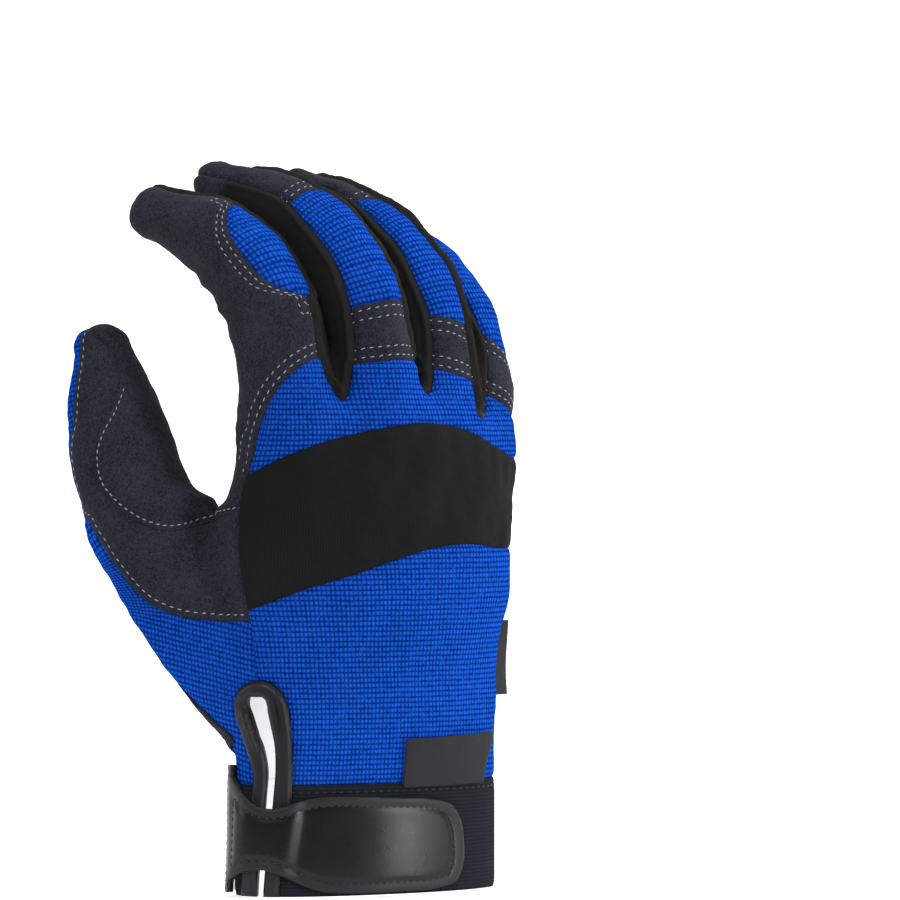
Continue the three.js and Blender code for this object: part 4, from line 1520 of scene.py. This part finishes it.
@dataclass(frozen=True)
class BlueKnit:
    """Cobalt knit of small raised cells in rows and columns, with painted highlight on the cells
    and painted shade between them.
    """

    pitch_across: float = 1.36
    pitch_along: float = 1.6
    # dark and light end the colour range, from the painted shade between the cells to the painted
    # highlight on them.
    dark: tuple[float, float, float] = (0.0015, 0.017, 0.145)
    light: tuple[float, float, float] = (0.0098, 0.088, 0.53)
    lean: float = 0.06
    roundness: float = 0.6
    between_columns: float = 0.12
    relief: float = 0.34
    fibre_scale: float = 2600.0

    def build(self) -> Any:
        """Makes the material.

        Returns:
            The material.
        """
        sh = Shader("blue_knit")
        across, along, vector = sh.cloth()
        wobble = (sh.noise(90.0, 2.0, vector) - 0.5) * 0.5
        column = ((across + wobble + along * self.lean) / self.pitch_across).wave()
        row = ((along + wobble) / self.pitch_along).wave()
        dots = (column ** self.roundness) * (1.0 - self.between_columns)
        cell = (row ** self.roundness) * (self.between_columns + dots)
        fibre = sh.noise(self.fibre_scale, 2.0)
        uneven = (sh.noise(700.0, 1.0) - 0.5) * 0.7 + (sh.noise(35.0) - 0.5) * 0.25
        # The colour follows the cells' relief: painted highlight on the raised cells and painted
        # shade between them. The fibre and uneven noise are the knit's own tone.
        shade = (cell * 1.1 - 0.02 + (fibre - 0.5) * 0.5 + uneven).clamp()
        colour = sh.blend(shade, self.dark, self.light)
        normal = sh.bump(cell + fibre * 0.15, self.relief)
        return sh.finish(colour, 0.8, normal, Specular_IOR_Level=0.0)


@dataclass(frozen=True)
class Suede:
    """Brushed charcoal suede with a short mottled nap."""

    dark: tuple[float, float, float] = (0.0065, 0.0067, 0.0092)
    light: tuple[float, float, float] = (0.034, 0.0355, 0.05)
    nap_scale: float = 900.0
    patch_scale: float = 70.0
    fluff_scale: float = 2800.0
    nap_height: float = 0.3
    fluff_height: float = 0.22

    def build(self) -> Any:
        """Makes the material.

        Returns:
            The material.
        """
        sh = Shader("suede")
        nap = sh.noise(self.nap_scale, 5.0)
        patch = sh.noise(self.patch_scale, 5.0)
        fluff = sh.noise(self.fluff_scale, 3.0)
        shade = ((nap - 0.5) * 1.1 + (patch - 0.5) * 0.8 + (fluff - 0.5) * 3.0 + 0.5).clamp()
        colour = sh.blend(shade, self.dark, self.light)
        normal = sh.bump(fluff, self.fluff_height, sh.bump(nap, self.nap_height))
        return sh.finish(colour, 0.95, normal, Specular_IOR_Level=0.05, Sheen_Weight=0.02,
                         Sheen_Roughness=0.5)


@dataclass(frozen=True)
class RibbedCloth:
    """Plain dark cloth with fine ribs one way, with painted shade in the grooves and painted
    highlight on the ribs.
    """

    name: str
    base: tuple[float, float, float]
    pitch: float
    upright: bool
    depth: float
    cross: float = 0.0
    gloss: float = 0.04
    # The glow fields paint light: a white emission on the cloth below glow_top, fading over
    # glow_fade.
    glow: float = 0.0
    glow_top: float = 0.072
    glow_fade: float = 0.008

    def build(self) -> Any:
        """Makes the material.

        Returns:
            The material.
        """
        sh = Shader(self.name)
        across, along, vector = sh.cloth()
        wobble = (sh.noise(160.0, 2.0, vector) - 0.5) * 0.5
        rib = (((across if self.upright else along) + wobble) / self.pitch).wave()
        weave = (((along if self.upright else across) + wobble) / (self.pitch * 0.7)).wave()
        height = rib * (1 - self.cross) + weave * self.cross
        fibre = sh.noise(2200.0, 2.0)
        # The colour follows the rib relief: painted shade in the grooves and painted highlight on
        # the ribs. The fibre and patch noise are the cloth's own tone.
        shade = (height * 0.5 + fibre * 0.35 + sh.noise(40.0) * 0.25 - 0.1).clamp()
        low = tuple(v * 0.45 for v in self.base)
        high = tuple(v * 1.6 for v in self.base)
        normal = sh.bump(height + fibre * 0.25, self.depth)
        # Painted light: the cloth glows white low down, though it is no lamp.
        if self.glow:
            parts = sh.node("ShaderNodeSeparateXYZ", i0=sh.place())
            painted_glow_share = ((self.glow_top - Wire(sh, parts.outputs[2])) / self.glow_fade).clamp()
            sh.feed(sh.surface.inputs["Emission Color"],
                    sh.blend(painted_glow_share, (0.0, 0.0, 0.0), (1.0, 1.0, 1.0)))
        return sh.finish(sh.blend(shade, low, high), 0.85, normal, Specular_IOR_Level=self.gloss,
                         Emission_Strength=self.glow)


@dataclass(frozen=True)
class SmoothLeather:
    """Black leather with a soft gloss and a fine grain, and a painted highlight on its rim."""

    base: tuple[float, float, float] = (0.003, 0.003, 0.0034)
    # How much lighter the painted highlight on the rim is than the base colour.
    rim_highlight_gain: float = 2.6
    edge_width: float = 3.0
    edge_fade: float = 0.5
    pebble_scale: float = 1500.0
    pebble_height: float = 0.012
    smear_scale: float = 150.0
    smear_height: float = 0.008

    def build(self) -> Any:
        """Makes the material.

        Returns:
            The material.
        """
        sh = Shader("leather")
        grain = sh.node("ShaderNodeTexVoronoi", {"feature": "F1"}, Vector=sh.place(),
                        Scale=self.pebble_scale)
        pebble = Wire(sh, grain.outputs[0])
        smear = sh.noise(self.smear_scale, 4.0)
        seam = sh.seam()
        # outside marks the rim beyond the stitch line: a painted highlight where the rim catches
        # the light, and a rougher finish there.
        outside = ((self.edge_width - seam) / self.edge_fade).clamp()
        rough = smear * 0.08 + 0.24 + outside * 0.16
        normal = sh.bump(pebble, self.pebble_height, sh.bump(smear, self.smear_height))
        # The rim's colour: the base made lighter, a painted highlight.
        edge = tuple(v * self.rim_highlight_gain for v in self.base)
        return sh.finish(sh.blend(outside, self.base, edge), rough, normal,
                         Specular_IOR_Level=0.25)


@dataclass(frozen=True)
class Thread:
    """Twisted sewing thread."""

    name: str
    colour: tuple[float, float, float]

    def build(self) -> Any:
        """Makes the material.

        Returns:
            The material.
        """
        sh = Shader(self.name)
        twist = sh.noise(3000.0, 2.0)
        low = tuple(v * 0.6 for v in self.colour)
        return sh.finish(sh.blend(twist, low, self.colour), 0.6, sh.bump(twist, 0.08))


@dataclass
class Wardrobe:
    """Every finish, built once."""

    materials: dict[Finish, Any] = field(default_factory=dict)
    lining: Any = None
    light_thread: Any = None
    dark_thread: Any = None

    def build(self) -> None:
        """Makes all the materials."""
        self.materials = {
            Finish.BLUE: BlueKnit().build(),
            Finish.SUEDE: Suede().build(),
            Finish.BAND: RibbedCloth("stretch_band", (0.0098, 0.0098, 0.0104), 0.85, True, 0.05,
                                     0.3).build(),
            Finish.STRETCH: RibbedCloth("stretch_strip", (0.0145, 0.0142, 0.0136), 0.5, False,
                                        0.04, 0.5).build(),
            Finish.ELASTIC: RibbedCloth("elastic", (0.012, 0.0138, 0.0185), 1.15, False, 0.3,
                                        0.35).build(),
            Finish.LEATHER: SmoothLeather().build(),
            Finish.LABEL: RibbedCloth("woven_label", (0.017, 0.0172, 0.0205), 0.42, False, 0.05,
                                      0.5, 0.2).build(),
        }
        # The lining on the inner faces glows low down: painted light standing in for the light that
        # falls in through the wrist slit.
        self.lining = RibbedCloth("lining", (0.5, 0.51, 0.53), 0.8, False, 0.05, 0.5,
                                  glow=0.55).build()
        self.light_thread = Thread("thread_grey", (0.36, 0.37, 0.4)).build()
        self.dark_thread = Thread("thread_black", (0.0016, 0.0016, 0.0018)).build()


@dataclass
class Tailor:
    """Turns cut skins into finished objects."""

    wardrobe: Wardrobe
    seams: SeamMap
    palm_half: float = 47.5
    palm_back: float = 19.0
    palm_edge: float = 59.0
    finger_radius: float = 12.2
    thumb_radius: float = 15.0
    knit_turn_heights: tuple[float, float] = (84.0, 106.0)
    thumb_root: float = 54.0
    edge_power: float = 1.6
    welt_width: float = 0.8
    dimple_width: float = 0.75

    def cloth_directions(self, skin: Skin, cloth: ClothMap) -> Array:
        """Cloth coordinates on the skin's points, in metres.

        Args:
            skin: the skin with its measures.
            cloth: the part of the hand that the cloth follows.

        Returns:
            (n, 3) coordinates, across and along in the first two.
        """
        if cloth is ClothMap.PALM:
            form = self.seams.form
            half, _, _, centre, _, _ = smooth_rows(form.palm_rows, skin.points[:, 2]).T
            share = np.clip((skin.points[:, 0] - centre) / half, -0.9999, 0.9999)
            table = np.linspace(-1.0, 1.0, 401)
            bulge = (1 - np.abs(table) ** form.palm_power) ** (1 / form.palm_power)
            edge = bulge * (self.palm_back / self.palm_half)
            run = np.r_[0.0, np.cumsum(np.hypot(np.diff(table), np.diff(edge)))]
            run -= run[len(run) // 2]
            across = np.interp(share, table, run) * self.palm_half
            beyond = 2 * np.sign(across) * self.palm_edge - across
            across = np.where(skin.values["middle"] < 0, beyond, across)
            return np.c_[across, skin.points[:, 2], np.zeros(len(across))] * MM
        angle = (skin.values[f"{cloth.value}.angle"] + 90.0) % 360.0 - 180.0
        radius = self.thumb_radius if cloth is ClothMap.THUMB else self.finger_radius
        across = np.radians(angle) * radius
        along = skin.values[f"{cloth.value}.station"]
        if cloth is ClothMap.THUMB:
            share = ease(skin.points[:, 2], *self.knit_turn_heights)
            right = skin.values["back.u"] + self.thumb_root
            across = share * across + (1 - share) * right * 1.2
            along = share * along + (1 - share) * (skin.points[:, 2] - 34.0 + 0.25 * right)
        return np.c_[across, along, np.zeros(len(angle))] * MM

    def thicken(self, panel: Panel) -> None:
        """Gives a panel its outer and inner faces and its turned edge, as an object.

        Args:
            panel: the cut panel. Its sewn surface is kept with it.
        """
        skin = panel.skin
        rim = skin.rim_distance()
        near = np.exp(-((rim / panel.edge) ** self.edge_power))
        lift = panel.rise - panel.sink * near
        lift += panel.welt * np.exp(-(((rim - panel.welt_at) / self.welt_width) ** 2))
        if panel.extra is not None:
            lift += panel.extra(skin)
        inner = skin.points + skin.normals * (lift - panel.thickness)[:, None]
        for row in panel.rows:
            off = row.level(skin) - row.offset
            shown = 1.0 if row.keep is None else ease(row.keep(skin), -1.0, 1.0)
            lift = lift - row.dimple * shown * np.exp(-((off / self.dimple_width) ** 2))
        outer = skin.points + skin.normals * lift[:, None]
        panel.surface = replace(skin, points=outer)
        count = len(outer)
        edges = skin.rim_edges()
        walls = np.concatenate([
            np.stack([edges[:, 1], edges[:, 0], edges[:, 0] + count], axis=1),
            np.stack([edges[:, 1], edges[:, 0] + count, edges[:, 1] + count], axis=1)])
        faces = np.concatenate([skin.faces, walls, skin.faces[:, ::-1] + count])
        inner_start = len(skin.faces) + len(walls)
        cloth = self.cloth_directions(skin, panel.cloth)
        made = make_object(panel.name, np.concatenate([outer, inner]), faces,
                           {"cloth": np.concatenate([cloth, cloth]),
                            "seam": np.concatenate([rim, rim])})
        made.data.materials.append(self.wardrobe.materials[panel.finish])
        made.data.materials.append(self.wardrobe.lining)
        index = np.zeros(len(faces), dtype=np.int32)
        index[inner_start:] = 1
        made.data.polygons.foreach_set("material_index", index)
        LOG.info("%s: %d faces", panel.name, len(faces))
        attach(made, "root")
        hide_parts(*panel.nodes)


def make_object(name: str, points: Array, faces: Array,
                values: dict[str, Array] | None = None) -> bpy.types.Object:
    """Makes a smooth-shaded mesh object from places in millimetres.

    Args:
        name: the object's name.
        points: (n, 3) places in millimetres.
        faces: (m, 3) corner numbers.
        values: values on the points, numbers or vectors, by attribute name.

    Returns:
        The object, linked to the scene.
    """
    mesh = bpy.data.meshes.new(name)
    mesh.vertices.add(len(points))
    mesh.vertices.foreach_set("co", (points * MM).astype(np.float32).reshape(-1))
    mesh.loops.add(faces.size)
    mesh.loops.foreach_set("vertex_index", faces.astype(np.int32).reshape(-1))
    mesh.polygons.add(len(faces))
    mesh.polygons.foreach_set("loop_start", np.arange(0, faces.size, 3, dtype=np.int32))
    mesh.update(calc_edges=True)
    mesh.validate()
    mesh.polygons.foreach_set("use_smooth", np.ones(len(mesh.polygons), dtype=bool))
    for key, value in (values or {}).items():
        kind, slot = ("FLOAT_VECTOR", "vector") if value.ndim == 2 else ("FLOAT", "value")
        layer = mesh.attributes.new(key, kind, "POINT")
        layer.data.foreach_set(slot, value.astype(np.float32).reshape(-1))
    made = bpy.data.objects.new(name, mesh)
    bpy.context.scene.collection.objects.link(made)
    return made


@dataclass
class SideTab:
    """A small folded ribbon that stands out of the side seam."""

    wardrobe: Wardrobe
    base: tuple[float, float] = (45.4, 5.0)
    turn: float = math.radians(26.0)
    low: float = 60.2
    high: float = 84.0
    reach: float = 7.6
    gap: float = 0.34
    thickness: float = 0.42
    fold_steps: int = 8
    rows: int = 25

    def build(self) -> None:
        """Makes the tab as one closed loop of ribbon with two free ends in the seam."""
        out = np.array([math.cos(self.turn), math.sin(self.turn)])
        flat = np.array([-out[1], out[0]])
        turns = np.linspace(-90.0, 90.0, self.fold_steps)
        straight = np.linspace(-2.0, self.reach - self.gap, 6)
        path = [(run, -self.gap, 0.0, -1.0) for run in straight]
        for turn in np.radians(turns[1:-1]):
            ahead, aside = math.cos(turn), math.sin(turn)
            path.append((self.reach - self.gap + self.gap * ahead, self.gap * aside, ahead, aside))
        path += [(run, self.gap, 0.0, 1.0) for run in straight[::-1]]
        outline = [(a + self.thickness * n, b + self.thickness * m) for a, b, n, m in path]
        outline += [(a, b) for a, b, _, _ in path[::-1]]
        count = len(outline)
        points = []
        for i in range(self.rows):
            share = i / (self.rows - 1)
            height = self.low + (self.high - self.low) * share
            bow = 0.5 * math.sin(share * math.pi * 1.4)
            for run, side in outline:
                place = np.array(self.base) + run * out + (side + bow * run / self.reach) * flat
                points.append((place[0], place[1], height))
        faces = []
        for i in range(self.rows - 1):
            for j in range(count):
                a, b = i * count + j, i * count + (j + 1) % count
                faces += [(a, b, b + count), (a, b + count, a + count)]
        half = count // 2
        for base, order in ((0, 1), ((self.rows - 1) * count, -1)):
            for j in range(half - 1):
                a, b, c, d = base + j, base + j + 1, base + count - 2 - j, base + count - 1 - j
                faces += [(a, c, b)[::order], (a, d, c)[::order]]
        places = np.array(points)
        cloth = np.c_[places[:, 0] - places[:, 1], places[:, 2], places[:, 1]] * MM
        made = make_object("side_tab_cloth", places, np.array(faces), {"cloth": cloth})
        made.data.materials.append(self.wardrobe.materials[Finish.LABEL])
        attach(made, "root")
        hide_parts("side_tab")


@dataclass
class Seamstress:
    """Sews the visible stitches with Geometry Nodes along lines on the panels."""

    wardrobe: Wardrobe
    length: float = 1.45
    width: float = 0.36
    heavy_width: float = 0.62
    fill: float = 0.62
    slant: float = 7.0
    slant_spread: float = 7.0
    seed: int = 7
    bead_segments: int = 8
    bead_rings: int = 6

    def tree(self, name: str, material: Any) -> Any:
        """Builds the node tree that sets a stitch at each step along a line.

        Args:
            name: the tree's name.
            material: the thread's material.

        Returns:
            The tree, with inputs Pitch, Length and Width in metres.
        """
        tree = bpy.data.node_groups.new(name, "GeometryNodeTree")
        for socket, kind in (("Geometry", "Geometry"), ("Pitch", "Float"), ("Length", "Float"),
                             ("Width", "Float")):
            tree.interface.new_socket(socket, in_out="INPUT", socket_type=f"NodeSocket{kind}")
        tree.interface.new_socket("Geometry", in_out="OUTPUT", socket_type="NodeSocketGeometry")

        def node(kind: str, settings: dict[str, Any] | None = None, **inputs: Any) -> Any:
            """Adds a node, its settings first, then its inputs.

            Args:
                kind: the node's type name.
                settings: its settings by name.
                inputs: values or links by socket name.

            Returns:
                The node.
            """
            made = tree.nodes.new(kind)
            for key, value in (settings or {}).items():
                setattr(made, key, value)
            for key, value in inputs.items():
                socket = made.inputs[key.replace("_", " ")]
                if isinstance(value, bpy.types.NodeSocket):
                    tree.links.new(value, socket)
                else:
                    socket.default_value = value
            return made

        given = node("NodeGroupInput")
        lines = node("GeometryNodeMeshToCurve", Mesh=given.outputs["Geometry"])
        steps = node("GeometryNodeResampleCurve", {"mode": "LENGTH"}, Curve=lines.outputs[0],
                     Length=given.outputs["Pitch"])
        up = node("GeometryNodeInputNamedAttribute", {"data_type": "FLOAT_VECTOR"}, Name="up")
        tangent = node("GeometryNodeInputTangent")
        turn = node("FunctionNodeAxesToRotation", {"primary_axis": "Z", "secondary_axis": "X"},
                    Primary_Axis=up.outputs[0], Secondary_Axis=tangent.outputs[0])
        jitter = node("FunctionNodeRandomValue", {"data_type": "FLOAT_VECTOR"}, Seed=self.seed)
        for i, spread in enumerate((-self.slant_spread, self.slant_spread)):
            jitter.inputs[i].default_value = (0.0, 0.0, math.radians(self.slant + spread))
        slant = node("FunctionNodeRotateRotation", {"rotation_space": "LOCAL"},
                     Rotation=turn.outputs[0], Rotate_By=jitter.outputs[0])
        size = node("ShaderNodeCombineXYZ", X=given.outputs["Length"], Y=given.outputs["Width"],
                    Z=given.outputs["Width"])
        bead = node("GeometryNodeMeshUVSphere", Segments=self.bead_segments,
                    Rings=self.bead_rings, Radius=0.5)
        smooth = node("GeometryNodeSetShadeSmooth", Geometry=bead.outputs[0])
        laid = node("GeometryNodeInstanceOnPoints", Points=steps.outputs[0],
                    Instance=smooth.outputs[0], Rotation=slant.outputs[0], Scale=size.outputs[0])
        real = node("GeometryNodeRealizeInstances", Geometry=laid.outputs[0])
        dressed = node("GeometryNodeSetMaterial", Geometry=real.outputs[0], Material=material)
        node("NodeGroupOutput", Geometry=dressed.outputs[0])
        return tree

    def sew(self, panel: Panel) -> None:
        """Adds the stitches of every row of a panel, one object for each thread and pitch.

        Args:
            panel: a panel that has its surface.
        """
        sets: dict[tuple[bool, float], list[tuple[Array, Array]]] = {}
        for row in panel.rows:
            keep = row.keep(panel.surface) if row.keep else np.ones(len(panel.surface.points))
            lines = level_lines(panel.surface, row.level(panel.surface) - row.offset, keep)
            sets.setdefault((row.dark, row.pitch), []).extend(lines)
        for (dark, pitch), lines in sets.items():
            if not lines:
                LOG.warning("%s: a row of stitches found no line", panel.name)
                continue
            tone = "dark" if dark else "light"
            self.make(f"{panel.name}_{tone}_stitches", lines, pitch, dark)

    def make(self, name: str, lines: list[tuple[Array, Array]], pitch: float, dark: bool) -> None:
        """Turns lines into a plain mesh of stitches.

        Args:
            name: the object's name.
            lines: points and normals of each line.
            pitch: from stitch to stitch, in millimetres.
            dark: whether the thread is black.
        """
        mesh = bpy.data.meshes.new(name)
        points = np.concatenate([line for line, _ in lines]) * MM
        normals = np.concatenate([normal for _, normal in lines])
        edges, start = [], 0
        for line, _ in lines:
            edges += [(start + i, start + i + 1) for i in range(len(line) - 1)]
            start += len(line)
        mesh.from_pydata([tuple(p) for p in points], edges, [])
        layer = mesh.attributes.new("up", "FLOAT_VECTOR", "POINT")
        layer.data.foreach_set("vector", normals.astype(np.float32).reshape(-1))
        made = bpy.data.objects.new(name, mesh)
        bpy.context.scene.collection.objects.link(made)
        wardrobe = self.wardrobe
        tree = self.tree(f"{name}_tree", wardrobe.dark_thread if dark else wardrobe.light_thread)
        modifier = made.modifiers.new("stitches", "NODES")
        modifier.node_group = tree
        sizes = {"Pitch": pitch, "Length": min(self.length, pitch * self.fill),
                 "Width": self.heavy_width if dark else self.width}
        for item in tree.interface.items_tree:
            if item.in_out == "INPUT" and item.name in sizes:
                modifier[item.identifier] = sizes[item.name] * MM
        graph = bpy.context.evaluated_depsgraph_get()
        plain = bpy.data.meshes.new_from_object(made.evaluated_get(graph))
        made.modifiers.remove(modifier)
        made.data = plain
        plain.name = name
        LOG.info("%s: %d faces", name, len(plain.polygons))
        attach(made, "root")


@dataclass
class Studio:
    """Floor, lights and camera."""

    distance: float = 1400.0
    scale: float = 0.315
    origin_px: tuple[float, float] = (366.0, 890.0)
    frame_px: float = 900.0
    sensor: float = 36.0
    lights: tuple[tuple[Any, ...], ...] = (
        # name, place in metres, width, height, watts
        ("right_strip", (0.9, -1.55, 0.3), 0.18, 1.3, 19.0),
        ("left_front", (-0.95, -1.25, 0.95), 0.6, 0.6, 13.0),
        ("top", (0.25, 0.0, 1.5), 1.0, 1.0, 14.0),
        ("right_side", (1.5, -0.3, 0.6), 0.9, 0.9, 13.0),
        ("left_side", (-1.4, 0.2, 0.5), 0.8, 0.8, 6.0),
    )
    aim: tuple[float, float, float] = (0.0, 0.0, 0.12)
    world_strength: float = 0.3
    paper: float = 0.86
    paper_glow: float = 0.55
    floor_front: float = -110.0
    floor_run: float = 900.0
    floor_half: float = 5000.0
    floor_drop: float = 0.6
    sweep_steps: int = 12

    def build(self) -> None:
        """Adds everything that isn't the glove."""
        self.camera()
        self.floor()
        for row in self.lights:
            self.light(*row)
        world = bpy.data.worlds.new("studio")
        world.use_nodes = True
        background = world.node_tree.nodes["Background"]
        background.inputs[0].default_value = (1.0, 1.0, 1.0, 1.0)
        background.inputs[1].default_value = self.world_strength
        bpy.context.scene.world = world
        bpy.context.scene.view_settings.view_transform = "Standard"

    def camera(self) -> None:
        """Puts the camera where the photograph was taken from."""
        right, depth = view_right(BACK_VIEW), view_depth(BACK_VIEW)
        half = self.frame_px / 2
        across = (self.origin_px[0] - half) * self.scale
        up = (half - self.origin_px[1]) * self.scale
        place = (-self.distance * depth - across * right - up * UP) * MM
        data = bpy.data.cameras.new("camera")
        data.sensor_width = self.sensor
        data.lens = self.sensor * self.distance / (self.frame_px * self.scale)
        data.clip_start = 0.05
        data.clip_end = 30.0
        camera = bpy.data.objects.new("camera", data)
        camera.matrix_world = Matrix.Translation(Vector(place)) @ Matrix.Rotation(
            BACK_VIEW, 4, "Z") @ Matrix.Rotation(math.radians(90.0), 4, "X")
        bpy.context.scene.collection.objects.link(camera)
        bpy.context.scene.camera = camera

    def floor(self) -> None:
        """A pale floor that curves up into a backdrop."""
        depth, right = view_depth(BACK_VIEW), view_right(BACK_VIEW)
        run = self.floor_run
        profile = [(self.floor_front, 0.0), (run, 0.0)]
        for i in range(1, self.sweep_steps + 1):
            angle = math.radians(90.0 * i / self.sweep_steps)
            profile.append((run + run * math.sin(angle), run * (1 - math.cos(angle))))
        profile.append((2.0 * run, self.floor_half))
        points = []
        for away, rise in profile:
            for side in (-self.floor_half, self.floor_half):
                points.append(away * depth + side * right + (rise - self.floor_drop) * UP)
        faces = []
        for i in range(len(profile) - 1):
            a = 2 * i
            faces += [(a, a + 1, a + 3), (a, a + 3, a + 2)]
        made = make_object("studio_floor", np.array(points), np.array(faces))
        sh = Shader("studio_paper")
        sh.surface.inputs["Emission Color"].default_value = (1.0, 1.0, 1.0, 1.0)
        made.data.materials.append(sh.finish((self.paper,) * 3, 0.9, None,
                                             Emission_Strength=self.paper_glow))

    def light(self, name: str, place: tuple[float, float, float], width: float, height: float,
              watts: float) -> None:
        """Adds a soft light that looks at the glove.

        Args:
            name: the light's name.
            place: where it stands, in metres.
            width: its width in metres.
            height: its height in metres.
            watts: its power.
        """
        data = bpy.data.lights.new(name, "AREA")
        data.shape = "RECTANGLE"
        data.size = width
        data.size_y = height
        data.energy = watts
        made = bpy.data.objects.new(name, data)
        aim = Vector(self.aim) - Vector(place)
        made.matrix_world = Matrix.Translation(Vector(place)) @ aim.to_track_quat(
            "-Z", "Y").to_matrix().to_4x4()
        bpy.context.scene.collection.objects.link(made)


def main() -> None:
    """Builds the glove over the frame and reports each piece."""
    logging.basicConfig(level=logging.INFO, format="%(name)s: %(message)s")
    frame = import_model()
    LOG.info("frame with %d nodes", len(frame["nodes"]))
    form = HandForm()
    skin, digits = form.build()
    LOG.info("skin with %d points", len(skin.points))
    seams = SeamMap(form, digits)
    seams.measure(skin)
    Creases().apply(skin)
    wardrobe = Wardrobe()
    wardrobe.build()
    tailor = Tailor(wardrobe, seams)
    seamstress = Seamstress(wardrobe)
    for panel in PanelCutter(seams, skin).cut_all():
        tailor.thicken(panel)
        if panel.rows:
            seamstress.sew(panel)
    SideTab(wardrobe).build()
    Studio().build()
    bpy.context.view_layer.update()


if __name__ == "__main__":
    main()
